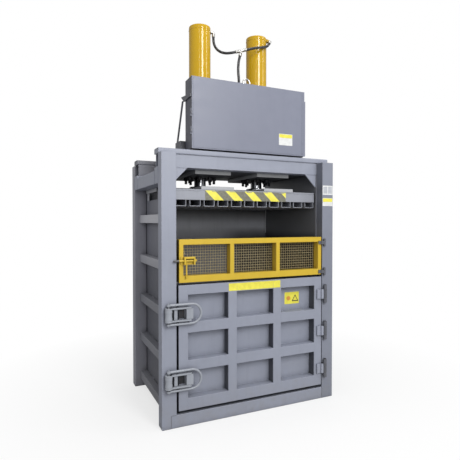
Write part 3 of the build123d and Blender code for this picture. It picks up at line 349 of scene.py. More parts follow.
bead_pitch = 7 * MM
bead_sides = 8
bead_reference = (0.31, 0.52, 0.79)  # a direction that no bead runs along


def bead_swell(place):
    """A weld bead's radius as a share of its size: it swells once in each pitch by the absolute value of a
    sine, as the pool of each dab leaves it."""
    return 0.86 + 0.2 * np.abs(np.sin(np.pi * place / bead_pitch))


def line_up(x, y, z0, z1):
    """The two ends of an upright line."""
    return (x, y, z0), (x, y, z1)


def line_across(x0, x1, y, z):
    """The two ends of a line from side to side."""
    return (x0, y, z), (x1, y, z)


def line_back(x, y0, y1, z):
    """The two ends of a line from front to back."""
    return (x, y0, z), (x, y1, z)


def bead(path, size):
    """A weld bead: a round string along a path, with a bead's swell, a slow drift and thin ends."""
    path = np.array(path, float)
    gaps = np.linalg.norm(np.diff(path, axis=0), axis=1)
    length = np.r_[0, np.cumsum(gaps)]
    count = max(8, int(length[-1] / bead_pitch * 3))
    place = np.linspace(0, length[-1], count + 1)
    points = np.stack([np.interp(place, length, path[:, i]) for i in range(3)], -1)
    drift_rate, drift, end_share = 61.0, 0.05, 0.45
    ripple = bead_swell(place) + drift * np.sin(place * drift_rate)
    ripple[[0, -1]] *= end_share
    return swept(points, size * ripple, bead_reference, bead_sides)


def ring_bead(x, y, z, radius, size):
    """A weld bead round an upright tube: a closed circle with a bead's swell, three rings to a pitch."""
    count = int(2 * math.pi * radius / bead_pitch) * 3
    angle = np.linspace(0, 2 * np.pi, count, endpoint=False)
    path = np.stack([x + radius * np.cos(angle), y + radius * np.sin(angle), np.full(count, z)], 1)
    inwards = np.stack([-np.cos(angle), -np.sin(angle), np.zeros(count)], 1)
    girth = np.linspace(0, 2 * np.pi, bead_sides, endpoint=False)[None, :, None]
    swell = size * bead_swell(np.arange(count) * bead_pitch / 3)[:, None, None]
    upwards = np.array((0, 0, 1.0))
    points = path[:, None] + swell * (np.cos(girth) * inwards[:, None] + np.sin(girth) * upwards)
    return skin(points, loop=True, flip=True)


# Making a piece of the object from shapes

def round_rims(obj, width, segments, degrees):
    """Rounds the edges where faces meet at more than an angle."""
    rim = obj.modifiers.new("rims", "BEVEL")
    rim.width = width
    rim.segments = segments
    rim.limit_method = "ANGLE"
    rim.angle_limit = math.radians(degrees)


def even_normals(obj):
    """Lets large faces rule the shading along their edges."""
    even = obj.modifiers.new("even_normals", "WEIGHTED_NORMAL")
    even.keep_sharp = True


def piece(name, shapes, finish, body="frame", nodes=(), bevel=0.0):
    """One mesh object made of several shapes, smooth except at sharp edges, riding on a body."""
    starts = np.cumsum([0] + [len(points) for points, faces in shapes[:-1]])
    points = np.concatenate([points for points, faces in shapes])
    faces = [[start + corner for corner in face] for start, shape in zip(starts.tolist(), shapes)
             for face in shape[1]]
    mesh = bpy.data.meshes.new(name)
    mesh.from_pydata(points.tolist(), [], faces)
    mesh.validate()
    mesh.shade_smooth()
    mesh.materials.append(finish)
    obj = bpy.data.objects.new(name, mesh)
    bpy.context.scene.collection.objects.link(obj)
    if bevel:
        round_rims(obj, bevel, segments=3, degrees=40)
    else:
        mesh.set_sharp_from_angle(angle=math.radians(50))
    even_normals(obj)
    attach(obj, body)
    if nodes:
        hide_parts(*nodes)
    return obj


def dress(node, finish):
    """Gives a node of the model its finish and round rims, without changing its mesh."""
    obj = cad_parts[node]
    obj.data.materials.clear()
    obj.data.materials.append(finish)
    obj.data.shade_smooth()
    joined = obj.modifiers.new("joined", "WELD")
    joined.merge_threshold = 0.02 * MM
    round_rims(obj, 1.0 * MM, segments=2, degrees=35)
    even_normals(obj)


# Finishes: materials from object-space patterns

class Finish:
    """A material under construction: a node tree with short ways to add and link its nodes."""

    def __init__(self, name):
        """A new material with its main shader, and the places and normals that patterns use."""
        self.material = bpy.data.materials.new(name)
        self.material.use_nodes = True
        self.tree = self.material.node_tree
        self.shader = self.tree.nodes["Principled BSDF"]
        where = self.add("ShaderNodeTexCoord")
        self.place, self.facing = where.outputs["Object"], where.outputs["Normal"]

    def add(self, kind, inputs=None, **settings):
        """A new node with its settings; an input takes a value or a link from another node's output."""
        made = self.tree.nodes.new(kind)
        for key, value in settings.items():
            setattr(made, key, value)
        for key, value in (inputs or {}).items():
            if isinstance(value, bpy.types.NodeSocket):
                self.tree.links.new(value, made.inputs[key])
            else:
                made.inputs[key].default_value = value
        return made

    def math(self, operation, first, second=0.0, third=0.0):
        """One sum on up to three numbers."""
        values = {0: first, 1: second, 2: third}
        return self.add("ShaderNodeMath", values, operation=operation).outputs[0]

    def times(self, first, second):
        """A product."""
        return self.math("MULTIPLY", first, second)

    def plus(self, first, second):
        """A sum."""
        return self.math("ADD", first, second)

    def noise(self, scale, detail=3.0, stretch=None, rough=0.55):
        """Cloudy noise that sits still on the object; a stretch multiplies each coordinate first."""
        place = self.place
        if stretch:
            place = self.add("ShaderNodeMapping", {"Vector": place, "Scale": stretch}).outputs[0]
        made = self.add("ShaderNodeTexNoise",
                        {"Vector": place, "Scale": scale, "Detail": detail, "Roughness": rough})
        return made.outputs["Fac"]

    def band(self, value, low, high, to_low=0.0, to_high=1.0):
        """A value between two limits, taken evenly to between two others and held there outside."""
        made = self.add("ShaderNodeMapRange", {0: value, 1: low, 2: high, 3: to_low, 4: to_high})
        return made.outputs[0]

    def above(self, value, place, width):
        """One above a place and nought below it, with an even fade over a width between."""
        return self.band(value, place - width / 2, place + width / 2)

    def below(self, value, place, width):
        """One below a place and nought above it, with an even fade over a width between."""
        return self.band(value, place + width / 2, place - width / 2)

    def blend(self, share, first, second):
        """A mix of two colours."""
        first = first if isinstance(first, bpy.types.NodeSocket) else (*first, 1.0)
        second = second if isinstance(second, bpy.types.NodeSocket) else (*second, 1.0)
        made = self.add("ShaderNodeMix", {0: share, 6: first, 7: second}, data_type="RGBA")
        return made.outputs[2]

    def part(self, vector, index):
        """One coordinate of a vector."""
        return self.add("ShaderNodeSeparateXYZ", {0: vector}).outputs[index]

    def axis(self, index):
        """One coordinate of the place on the object."""
        return self.part(self.place, index)

    def bump(self, height, distance, strength, under=None):
        """A normal tilted by a height, on top of another one."""
        inputs = {"Height": height, "Distance": distance, "Strength": strength}
        if under is not None:
            inputs["Normal"] = under
        return self.add("ShaderNodeBump", inputs).outputs[0]

    def rim_mask(self, radius):
        """High where the surface turns within a radius: one minus the product of its own normal and the
        normal that a rounded rim would have."""
        soft = self.add("ShaderNodeBevel", {"Radius": radius}, samples=4).outputs[0]
        own = self.add("ShaderNodeNewGeometry").outputs["Normal"]
        same = self.add("ShaderNodeVectorMath", {0: soft, 1: own}, operation="DOT_PRODUCT").outputs["Value"]
        return self.band(same, 0.995, 0.90)

    def open_share(self, reach):
        """The share of the sky above a surface that nothing within reach covers."""
        return self.add("ShaderNodeAmbientOcclusion", {"Distance": reach}, samples=6).outputs["AO"]

    def crevice_mask(self, reach):
        """High where other surfaces stand close by."""
        return self.band(self.open_share(reach), 0.85, 0.35)

    def done(self, colour, rough, normal=None, metal=0.0):
        """The finished material, with its colour, roughness, normal and metal given or linked."""
        for key, value in (("Base Color", colour), ("Roughness", rough), ("Metallic", metal)):
            if isinstance(value, bpy.types.NodeSocket):
                self.tree.links.new(value, self.shader.inputs[key])
            else:
                self.shader.inputs[key].default_value = value
        if normal is not None:
            self.tree.links.new(normal, self.shader.inputs["Normal"])
        return self.material


def shade(colour, amount):
    """A colour made darker or lighter by a factor, none of its channels over one."""
    return tuple(min(1.0, channel * amount) for channel in colour)


bare_metal = (0.09, 0.095, 0.105)
floor_dust = (0.22, 0.205, 0.185)
rust_brown = (0.17, 0.07, 0.03)


def paint(name, colour, rough=0.42, patchy=0.07, dust=0.3, worn=0.55, under=bare_metal, waves=1.0, peel=1.0,
          runs_share=0.13, elsewhere=()):
    """Sprayed enamel on sheet steel: broad and fine tone changes, orange peel, faint waves in the sheet,
    upright run marks, floor dust low down, painted shade in corners made patchy by noise, painted shade
    near black in narrow gaps, and paint rubbed through at rims. Other colours take over, one after another,
    where their rules of the place are one; several of them are painted shade."""
    f = Finish(name)
    broad = f.noise(1.2, detail=2.0)
    fine = f.noise(14.0, detail=5.0)
    tone = f.band(f.plus(f.times(broad, 0.7), f.times(fine, 0.3)), 0.32, 0.68)
    colour_now = f.blend(tone, shade(colour, 1 - patchy), shade(colour, 1 + patchy))
    for rule, other in elsewhere:
        other_now = f.blend(tone, shade(other, 1 - patchy), shade(other, 1 + patchy))
        colour_now = f.blend(rule(f), colour_now, other_now)

    runs = f.band(f.noise(1.0, detail=4.0, stretch=(34.0, 34.0, 1.7)), 0.52, 0.75)
    colour_now = f.blend(f.times(runs, runs_share), colour_now, shade(colour, 0.62))
    near_floor = f.below(f.axis(2), place=0.21, width=0.42)
    dusty = f.times(f.times(near_floor, f.band(fine, 0.35, 0.65)), dust)
    colour_now = f.blend(dusty, colour_now, floor_dust)

    open_share = f.open_share(reach=60 * MM)
    # Painted shade in corners where other surfaces stand close, made patchy by noise
    crevice_shade = f.times(f.band(open_share, 0.85, 0.4), f.band(fine, 0.2, 0.7, 0.2, 0.5))
    colour_now = f.blend(crevice_shade, colour_now, shade(colour, 0.32))
    # Painted shade: near black in narrow gaps
    gap_shade = f.band(open_share, 0.36, 0.16, 0.0, 0.93)
    colour_now = f.blend(gap_shade, colour_now, shade(colour, 0.04))

    ragged = f.noise(95.0, detail=6.0, rough=0.7)
    wear = f.plus(f.times(f.rim_mask(radius=3.2 * MM), worn), f.times(ragged, 0.9))
    rubbed = f.band(wear, 0.83, 0.96)
    colour_now = f.blend(f.times(rubbed, 0.8), colour_now, under)
    scuffs = f.band(f.noise(3.0, detail=7.0, stretch=(9.0, 9.0, 38.0), rough=0.72), 0.66, 0.74)
    colour_now = f.blend(f.times(scuffs, 0.16), colour_now, shade(colour, 1.5))

    gloss = f.band(fine, 0.3, 0.7, rough - 0.05, rough + 0.07)
    gloss = f.plus(gloss, f.times(dusty, 0.5))
    normal = f.bump(f.noise(2.3, detail=1.0), 5.0 * MM, 0.16 * waves)
    normal = f.bump(f.noise(430.0, detail=2.0), 0.35 * MM, 0.22 * peel, normal)
    normal = f.bump(rubbed, 0.12 * MM, 0.5, normal)
    return f.done(colour_now, gloss, normal)


# Rules of the place for the paints: one on a part of the machine and nought elsewhere

crisp = 1 * MM
side_sheet_x = (chamber_x + post_inner_x) / 2
rear_sheet_y = (wall_low[1] + wall_high[1]) / 2


def inside_chamber(f):
    """One on the faces that look into the bale chamber, nought on the outer faces of the same sheets."""
    beside = f.below(f.math("ABSOLUTE", f.axis(0)), side_sheet_x, crisp)
    return f.times(beside, f.below(f.axis(1), rear_sheet_y, crisp))


def side_faces_inside(f):
    """One on the inner faces of the chamber's two side sheets."""
    beside = f.math("ABSOLUTE", f.axis(0))
    return f.times(f.below(beside, side_sheet_x, crisp), f.above(beside, chamber_x - crisp, crisp))


def chamber_low(f):
    """One low down on the face that looks into the bale chamber, fading out upwards."""
    return f.times(inside_chamber(f), f.below(f.axis(2), place=1.39, width=0.12))


def chamber_low_right(f):
    """One low down on the right of the face that looks into the bale chamber."""
    return f.times(chamber_low(f), f.above(f.axis(0), place=0.23, width=0.22))


def chamber_high(f):
    """One on the face that looks into the bale chamber, close under the raised platen."""
    return f.times(inside_chamber(f), f.above(f.axis(2), place=1.545, width=0.11))


def side_faces_low(f):
    """One low down on the inner faces of the chamber's side sheets."""
    return f.times(side_faces_inside(f), f.below(f.axis(2), place=1.38, width=0.08))


def outer_low(f):
    """One low down, on the machine's outside, fading out upwards."""
    return f.below(f.axis(2), place=1.175, width=0.45)


def right_half(f):
    """One on whatever stands right of the middle."""
    return f.above(f.axis(0), place=0.0, width=0.1)


def looks_left(f):
    """One on faces that look along minus X."""
    return f.below(f.part(f.facing, 0), place=-0.65, width=0.3)


def recess_right_sides(f):
    """One on the door's faces that look left inside its recesses."""
    past_edge = f.above(f.axis(0), door_low[0] + 19 * MM, 10 * MM)
    past_front = f.above(f.axis(1), front_y + 6 * MM, 8 * MM)
    return f.times(f.times(past_edge, past_front), looks_left(f))


def opening_side(f):
    """One on the face of the right post that looks into the opening."""
    return f.times(right_half(f), looks_left(f))


def knuckle_side(f):
    """One on the part of the door's hinge leaves that wraps the pin."""
    return f.above(f.axis(0), door_high[0] + 6.5 * MM, 3 * MM)


def platen_end(f):
    """One on the platen's two ends."""
    return f.above(f.math("ABSOLUTE", f.axis(0)), platen_high[0] - 0.5 * MM, 0.6 * MM)


def bolt_tip(f):
    """One on the part of the gate's bolt that slides out of its lugs."""
    return f.below(f.axis(0), gate_low[0] - 6 * MM, 6 * MM)


def wall_front_edge(f):
    """One on the front edges of the chamber's side sheets."""
    return f.below(f.axis(1), front_inner_y + 1.5 * crisp, crisp)


def left_side(f):
    """One on the cabinet's left outer face."""
    return f.below(f.axis(0), cabinet_low[0] + crisp, crisp)


def under_seat(f):
    """One on the underside of the cylinders' seats."""
    return f.below(f.axis(2), seat_bottom + crisp, crisp)


# Other kinds of finish

def steel(name, colour, rough, stain, rust=0.0, relief=0.35, metal=1.0):
    """Bare or plated steel: fine turned grain, dull stains and, where wanted, specks of rust."""
    f = Finish(name)
    cloud = f.noise(26.0, detail=5.0)
    fine = f.noise(300.0)
    colour_now = f.blend(f.band(fine, 0.3, 0.7), shade(colour, 0.86), shade(colour, 1.1))
    dull = f.times(f.band(cloud, 0.45, 0.7), stain)
    colour_now = f.blend(dull, colour_now, shade(colour, 0.45))
    specks = f.times(f.band(f.noise(70.0, detail=6.0, rough=0.75), 0.54, 0.66), rust)
    colour_now = f.blend(specks, colour_now, rust_brown)
    # Painted shade where other surfaces stand close
    crevice_shade = f.times(f.crevice_mask(reach=20 * MM), 0.5)
    colour_now = f.blend(crevice_shade, colour_now, shade(colour, 0.2))
    gloss = f.band(cloud, 0.35, 0.7, rough, rough + 0.46 * relief)
    gloss = f.plus(gloss, f.times(specks, 0.35))
    normal = f.bump(fine, 0.15 * MM, relief)
    metal_now = f.math("SUBTRACT", metal, f.times(specks, 0.8))
    return f.done(colour_now, gloss, normal, metal_now)


def hose_cover(name):
    """Black wire-braided rubber: two sets of fine crossing ridges, silvery where they are rubbed, and a
    broken lay line. The piece's own map runs along the hose and round it, in metres."""
    f = Finish(name)
    around_rate, along_rate, dash_rate = 720.0, 900.0, 180.0
    line_place, line_edges = 11 * MM, (1.7 * MM, 1.3 * MM)
    place = f.add("ShaderNodeUVMap", uv_map="along_round").outputs[0]
    along, about = f.part(place, 0), f.part(place, 1)
    ridges = []
    for sign in (1.0, -1.0):
        slant = f.math("MULTIPLY_ADD", about, sign * around_rate, f.times(along, along_rate))
        ridges.append(f.math("SINE", slant))
    braid = f.math("MAXIMUM", *ridges)
    worn = f.band(f.noise(75.0, detail=5.0, rough=0.7), 0.47, 0.63)
    bright = f.times(f.times(f.band(braid, 0.2, 0.95), worn), 0.75)
    colour_now = f.blend(bright, (0.012, 0.012, 0.014), (0.34, 0.34, 0.35))
    from_line = f.math("ABSOLUTE", f.math("SUBTRACT", about, line_place))
    dashes = f.band(f.math("SINE", f.times(along, dash_rate)), -0.2, 0.0)
    line = f.times(f.band(from_line, *line_edges), dashes)
    colour_now = f.blend(f.times(line, 0.5), colour_now, (0.55, 0.55, 0.52))
    normal = f.bump(braid, 0.5 * MM, 0.6)
    return f.done(colour_now, f.band(braid, -0.5, 1.0, 0.55, 0.36), normal)


def plastic(name, colour):
    """Moulded plastic with a fine grain and fingermarks."""
    f = Finish(name)
    marks = f.noise(18.0, detail=4.0)
    colour_now = f.blend(f.band(marks, 0.35, 0.7), shade(colour, 0.9), shade(colour, 1.08))
    # Painted shade where other surfaces stand close
    colour_now = f.blend(f.times(f.crevice_mask(reach=10 * MM), 0.5), colour_now, shade(colour, 0.3))
    normal = f.bump(f.noise(900.0, detail=2.0), 0.1 * MM, 0.4)
    return f.done(colour_now, f.band(marks, 0.3, 0.7, 0.44, 0.58), normal)


def sticker(name, colour):
    """Printed film: a little uneven in tone, dusty, with a slightly rippled surface."""
    f = Finish(name)
    tone = f.noise(30.0, detail=4.0)
    colour_now = f.blend(f.band(tone, 0.35, 0.7), shade(colour, 0.88), shade(colour, 1.03))
    specks = f.band(f.noise(160.0, detail=5.0, rough=0.7), 0.62, 0.7)
    colour_now = f.blend(f.times(specks, 0.3), colour_now, (0.2, 0.19, 0.17))
    normal = f.bump(f.noise(24.0, detail=2.0), 0.6 * MM, 0.3)
    return f.done(colour_now, f.band(tone, 0.3, 0.7, 0.42, 0.60), normal)


def hazard_film(name, first_top, pitch, width, slant, bottom, top):
    """Sloping yellow bars on an olive-grey tape. Along the tape, a bar covers a fixed share of each pitch,
    counted from where the first bar starts at the top and shifted by the slant times the depth below it."""
    f = Finish(name)
    depth = f.math("SUBTRACT", top, f.axis(2))
    shift = f.times(depth, slant / (top - bottom))
    along = f.math("SUBTRACT", f.math("SUBTRACT", f.axis(0), first_top), shift)
    turn = f.math("FRACT", f.math("DIVIDE", along, pitch))
    on = f.below(turn, width / pitch, 0.016)
    started = f.above(along, 0.0, 2 * MM)
    ragged = f.noise(60.0, detail=5.0, rough=0.7)
    bars = f.times(f.times(on, started), f.band(ragged, 0.68, 0.60, 0.55, 1.0))
    ground = f.blend(f.band(ragged, 0.35, 0.65), (0.150, 0.148, 0.112), (0.235, 0.232, 0.185))
    yellow = f.blend(f.band(f.noise(9.0), 0.3, 0.7), (0.80, 0.72, 0.06), (0.95, 0.90, 0.16))
    normal = f.bump(f.noise(35.0), 0.5 * MM, 0.3)
    return f.done(f.blend(bars, ground, yellow), 0.42, normal)


# Colours of the enamels

grey = (0.305, 0.325, 0.395)
wall_grey = (0.185, 0.190, 0.225)
chamber_grey = (0.44, 0.455, 0.50)
shaded_grey = (0.10, 0.105, 0.12)
cabinet_grey = (0.212, 0.226, 0.290)
platen_grey = (0.305, 0.318, 0.362)
rib_grey = (0.48, 0.485, 0.53)
cylinder_yellow = (0.60, 0.365, 0.010)
gate_yellow = (0.66, 0.455, 0.040)
gate_primer = (0.25, 0.15, 0.04)

finishes = {
    "body": paint("body_enamel", grey),
    # The right post is painted darker than the left, and its face into the opening darker still: painted
    # shade
    "post": paint("post_enamel", grey, elsewhere=[(right_half, shade(grey, 0.78)),
                                                  (opening_side, shade(grey, 0.54))]),
    "rear_post": paint("rear_post_enamel", (0.32, 0.322, 0.37), patchy=0.09),
    "rib": paint("rib_enamel", rib_grey, patchy=0.09, elsewhere=[(outer_low, (0.215, 0.22, 0.25))]),
    "frame_plate": paint("window_plate_enamel", (0.52, 0.53, 0.57), patchy=0.09),
    "wall": paint("wall_enamel", wall_grey, patchy=0.1, worn=0.4),
    # Inside the chamber the rear wall is painted darker close under the raised platen (painted shadow) and
    # low down, darkest low on the right (painted shade)
    "rear_wall": paint("rear_wall_enamel", wall_grey, patchy=0.12, worn=0.4,
                       elsewhere=[(inside_chamber, chamber_grey), (chamber_high, shade(chamber_grey, 0.28)),
                                  (chamber_low, shade(chamber_grey, 0.42)),
                                  (chamber_low_right, shade(chamber_grey, 0.07))]),
    # The side sheets' inner faces are painted darker and near black low down: painted shade
    "side_wall": paint("side_wall_enamel", wall_grey, patchy=0.12, worn=0.4,
                       elsewhere=[(outer_low, shade(wall_grey, 0.7)),
                                  (side_faces_inside, shade(chamber_grey, 0.35)),
                                  (side_faces_low, shade(chamber_grey, 0.05)),
                                  (wall_front_edge, shaded_grey)]),
    "chamber": paint("chamber_enamel", chamber_grey, rough=0.5, patchy=0.2, worn=0.5,
                     under=(0.2, 0.2, 0.2)),
    "dark": paint("deck_enamel", (0.060, 0.063, 0.075), patchy=0.1, worn=0.4),
    # The seats' undersides are painted near black: painted shade
    "seat": paint("seat_enamel", (0.50, 0.51, 0.52), patchy=0.05,
                  elsewhere=[(under_seat, (0.045, 0.047, 0.055))]),
    "barrel": paint("barrel_enamel", cylinder_yellow, rough=0.11, patchy=0.03, worn=0.3, dust=0.0,
                    under=(0.35, 0.22, 0.05), waves=0.04, peel=0.1, runs_share=0.0),
    "rod": steel("ground_rod", (0.36, 0.37, 0.39), rough=0.2, stain=0.1, relief=0.02),
    "platen": paint("platen_enamel", platen_grey, worn=0.6,
                    elsewhere=[(platen_end, (0.014, 0.015, 0.019))]),
    "pale": paint("pale_enamel", (0.42, 0.43, 0.45), patchy=0.05),
    # The recesses' right inner sides are painted dark: painted shade
    "door": paint("door_enamel", grey, elsewhere=[(recess_right_sides, shade(grey, 0.16))]),
    "door_leaf": paint("door_leaf_enamel", shade(grey, 1.05), elsewhere=[(knuckle_side, shaded_grey)]),
    "hinge": paint("hinge_enamel", (0.12, 0.125, 0.145), rough=0.4, worn=0.6, under=(0.3, 0.3, 0.31)),
    "latch": paint("latch_enamel", (0.345, 0.367, 0.412), rough=0.36, patchy=0.08, worn=0.75,
                   under=(0.30, 0.31, 0.33), waves=0.0),
    "gate": paint("gate_enamel", gate_yellow, rough=0.34, patchy=0.06, worn=0.45, under=gate_primer),
    "bolt_bar": paint("bolt_enamel", gate_yellow, rough=0.34, patchy=0.06, worn=0.6, under=gate_primer,
                      elsewhere=[(bolt_tip, (0.10, 0.10, 0.11))]),
    "wire": steel("mesh_galvanised", (0.60, 0.51, 0.30), rough=0.5, stain=0.3, rust=0.15, metal=0.45),
    # The cabinet's left face is painted darker: painted shade
    "cabinet": paint("cabinet_enamel", cabinet_grey, rough=0.40, patchy=0.05, dust=0.0, worn=0.3,
                     waves=0.7, runs_share=0.05, elsewhere=[(left_side, (0.085, 0.088, 0.112))]),
    "cabinet_hinge": paint("hinge_block_enamel", (0.14, 0.146, 0.18)),
    "stay": paint("stay_enamel", (0.10, 0.103, 0.12), patchy=0.1),
    "bright": steel("plated_steel", (0.72, 0.71, 0.68), rough=0.24, stain=0.3),
    "dull": steel("machined_steel", (0.42, 0.44, 0.47), rough=0.4, stain=0.5, rust=0.15),
    "bolt": steel("blackened_steel", (0.055, 0.057, 0.064), rough=0.45, stain=0.5, rust=0.3, metal=0.7),
    "iron": steel("cast_iron", (0.10, 0.10, 0.105), rough=0.6, stain=0.5, metal=0.5),
    "motor": paint("motor_enamel", (0.03, 0.11, 0.24), rough=0.45, dust=0.0),
    "switch": plastic("switch_plastic", (0.55, 0.56, 0.57)),
    "black": plastic("black_plastic", (0.015, 0.015, 0.017)),
    "hose": hose_cover("hose_braid"),
    "yellow_film": sticker("yellow_film", (0.88, 0.80, 0.09)),
    "white_film": sticker("white_film", (0.80, 0.81, 0.80)),
    "grey_film": sticker("grey_film", (0.52, 0.54, 0.58)),
    "ink": sticker("black_ink", (0.04, 0.04, 0.04)),
    "orange_ink": sticker("orange_ink", (0.75, 0.33, 0.06)),
}


# Camera, light and floor

def camera():
    """The viewing place found from the perspective of the frame's straight edges."""
    place = (-1.5493, -3.4382, 1.4990)
    degrees_down, degrees_right = 1.107, 24.415
    data = bpy.data.cameras.new("camera")
    data.lens = 33.18
    data.sensor_width = 36.0
    data.clip_start, data.clip_end = 0.05, 200.0
    obj = bpy.data.objects.new("camera", data)
    obj.location = place
    obj.rotation_euler = (math.radians(90.0 - degrees_down), 0.0, math.radians(-degrees_right))
    bpy.context.scene.collection.objects.link(obj)
    bpy.context.scene.camera = obj


def lamp(name, place, target, size, power):
    """A rectangular white soft box that looks at a target."""
    data = bpy.data.lights.new(name, "AREA")
    data.shape = "RECTANGLE"
    data.size, data.size_y = size
    data.energy = power
    obj = bpy.data.objects.new(name, data)
    bpy.context.scene.collection.objects.link(obj)
    obj.location = place
    obj.rotation_euler = (Vector(target) - Vector(place)).to_track_quat("-Z", "Y").to_euler()


def surroundings():
    """White to the eye and through glass; softer as light on the object and in gloss."""
    light_on_object, light_to_eye = 0.47, 1.0
    world = bpy.data.worlds.new("studio")
    bpy.context.scene.world = world
    world.use_nodes = True
    tree = world.node_tree
    background = tree.nodes["Background"]
    background.inputs[0].default_value = (1.0, 1.0, 1.0, 1.0)
    path = tree.nodes.new("ShaderNodeLightPath")
    seen = tree.nodes.new("ShaderNodeMath")
    seen.operation = "MAXIMUM"
    tree.links.new(path.outputs["Is Camera Ray"], seen.inputs[0])
    tree.links.new(path.outputs["Is Transmission Ray"], seen.inputs[1])
    strength = tree.nodes.new("ShaderNodeMapRange")
    strength.inputs[3].default_value = light_on_object
    strength.inputs[4].default_value = light_to_eye
    tree.links.new(seen.outputs[0], strength.inputs[0])
    tree.links.new(strength.outputs[0], background.inputs[1])


def floor():
    """A plain pale sheet: to the eye white near the object, so that its shadow shows, and fading into the
    white of the surroundings further out; to other light a mid grey, so that it throws little back up.
    Heights are a flat grid of two parameters."""
    reach, lines, depth = 40.0, 9, 0.5 * MM
    tone_to_light, tone_to_eye = (0.34, 0.34, 0.34), (0.9, 0.9, 0.9)
    fade_start, fade_end, share_at_start = 0.8, 2.6, 0.68
    side = np.linspace(-reach, reach, lines)
    grid = np.stack(np.meshgrid(side, side, indexing="ij"), -1)
    points = np.dstack([grid, np.full(grid.shape[:2], -depth)]).reshape(-1, 3)
    index = np.arange(lines * lines).reshape(lines, lines)
    quads = np.stack([index[:-1, :-1], index[1:, :-1], index[1:, 1:], index[:-1, 1:]], -1).reshape(-1, 4)
    mesh = bpy.data.meshes.new("studio_floor")
    mesh.from_pydata(points.tolist(), [], quads.tolist())
    f = Finish("pale_floor")
    far = f.add("ShaderNodeVectorMath", {0: f.place}, operation="LENGTH").outputs["Value"]
    away = f.band(far, fade_start, fade_end, share_at_start, 1.0)
    seen = f.add("ShaderNodeLightPath").outputs["Is Camera Ray"]
    white = f.add("ShaderNodeEmission", {"Color": (1.0, 1.0, 1.0, 1.0), "Strength": 1.0})
    f.done(f.blend(seen, tone_to_light, tone_to_eye), 0.9)
    mix = f.add("ShaderNodeMixShader",
                {0: f.times(away, seen), 1: f.shader.outputs[0], 2: white.outputs[0]})
    f.tree.links.new(mix.outputs[0], f.tree.nodes["Material Output"].inputs[0])
    mesh.materials.append(f.material)
    obj = bpy.data.objects.new("studio_floor", mesh)
    bpy.context.scene.collection.objects.link(obj)


bpy.context.scene.view_settings.view_transform = "Standard"
camera()
surroundings()
floor()
lamp("key_box", (0.5, -5.5, 4.3), (-0.3, -0.4, 1.6), (1.5, 2.6), 182.0)
lamp("fill_box", (-0.9, -5.2, 2.0), (-0.3, -0.4, 1.3), (1.6, 1.0), 40.0)
lamp("top_box", (0.3, -0.8, 6.2), (0.0, 0.0, 1.0), (3.0, 3.0), 56.0)
lamp("left_box", (-5.2, 0.4, 2.9), (-0.7, 0.0, 1.4), (1.6, 2.4), 32.0)
lamp("right_strip", (4.3, -3.0, 4.4), (0.3, 0.0, 2.6), (0.40, 2.8), 34.0)
lamp("camera_strip", (-2.5, -5.0, 4.3), (-0.2, 0.0, 2.6), (0.24, 2.7), 13.0)


# Hoses

hose_diameter = 22 * MM

# Each hose's control points in millimetres, from its exit to its far end
hose_routes = {
    "left_hose": ((-147.0, 0.0, 3100.0), (-147.0, 0.0, 3062.0), (-139.0, -8.0, 3023.0),
                  (-126.0, -29.0, 2987.0), (-102.0, -57.0, 2958.0), (-68.0, -85.0, 2944.0),
                  (-25.8, -108.2, 2946.0), (9.5, -118.5, 2955.5)),
    "right_hose": ((102.5, -145.5, 2980.5), (134.1, -154.7, 2989.0), (176.0, -160.0, 3002.0),
                   (226.0, -149.0, 3018.0), (275.0, -130.0, 3036.0), (320.0, -105.0, 3058.0),
                   (350.1, -85.6, 3081.9), (367.1, -70.2, 3107.0)),
    "feed_hose": ((44.0, -132.0, 2919.5), (35.8, -132.0, 2886.5), (27.0, -140.0, 2851.0),
                  (11.0, -168.0, 2799.0), (-3.0, -200.0, 2747.0), (-13.0, -230.0, 2697.0),
                  (-16.0, -240.0, 2660.0), (-16.0, -240.0, 2626.0)),
}
hose_references = {"left_hose": (0.45, 0.89, 0.0), "right_hose": (0.3, -0.3, 0.9),
                   "feed_hose": (1.0, 0.0, 0.0)}


def smooth_line(name, route):
    """Points along the smooth curve that takes a route's points as its controls."""
    curve = bpy.data.curves.new(name, "CURVE")
    curve.dimensions = "3D"
    spline = curve.splines.new("NURBS")
    spline.points.add(len(route) - 1)
    for point, place in zip(spline.points, route):
        point.co = (place[0] * MM, place[1] * MM, place[2] * MM, 1.0)
    spline.order_u = 3
    spline.use_endpoint_u = True
    spline.resolution_u = 12
    obj = bpy.data.objects.new(name, curve)
    bpy.context.scene.collection.objects.link(obj)
    mesh = bpy.data.meshes.new_from_object(obj)
    line = points_of(mesh)
    bpy.data.objects.remove(obj)
    bpy.data.meshes.remove(mesh)
    return line


def hose(name):
    """A round hose along its smooth line, with a map of its length and girth for the cover's pattern."""
    sides = 20
    line = smooth_line(name + "_line", hose_routes[name])
    shape = swept(line, hose_diameter / 2, hose_references[name], sides)
    obj = piece(name, [shape], finishes["hose"], nodes=[name])
    length = np.r_[0, np.cumsum(np.linalg.norm(np.diff(line, axis=0), axis=1))]
    corners = face_corners(obj.data)
    girth = (corners % sides) / sides
    girth = np.where((girth == 0) & (np.roll(girth, 1) > 0.9), 1.0, girth)
    mapped = np.stack([length[corners // sides], girth * math.pi * hose_diameter], 1)
    layer = obj.data.uv_layers.new(name="along_round")
    layer.data.foreach_set("uv", mapped.astype(np.float32).ravel())
    exits = [value * MM for value in hose_routes[name][0]]


for hose_name in hose_routes:
    hose(hose_name)


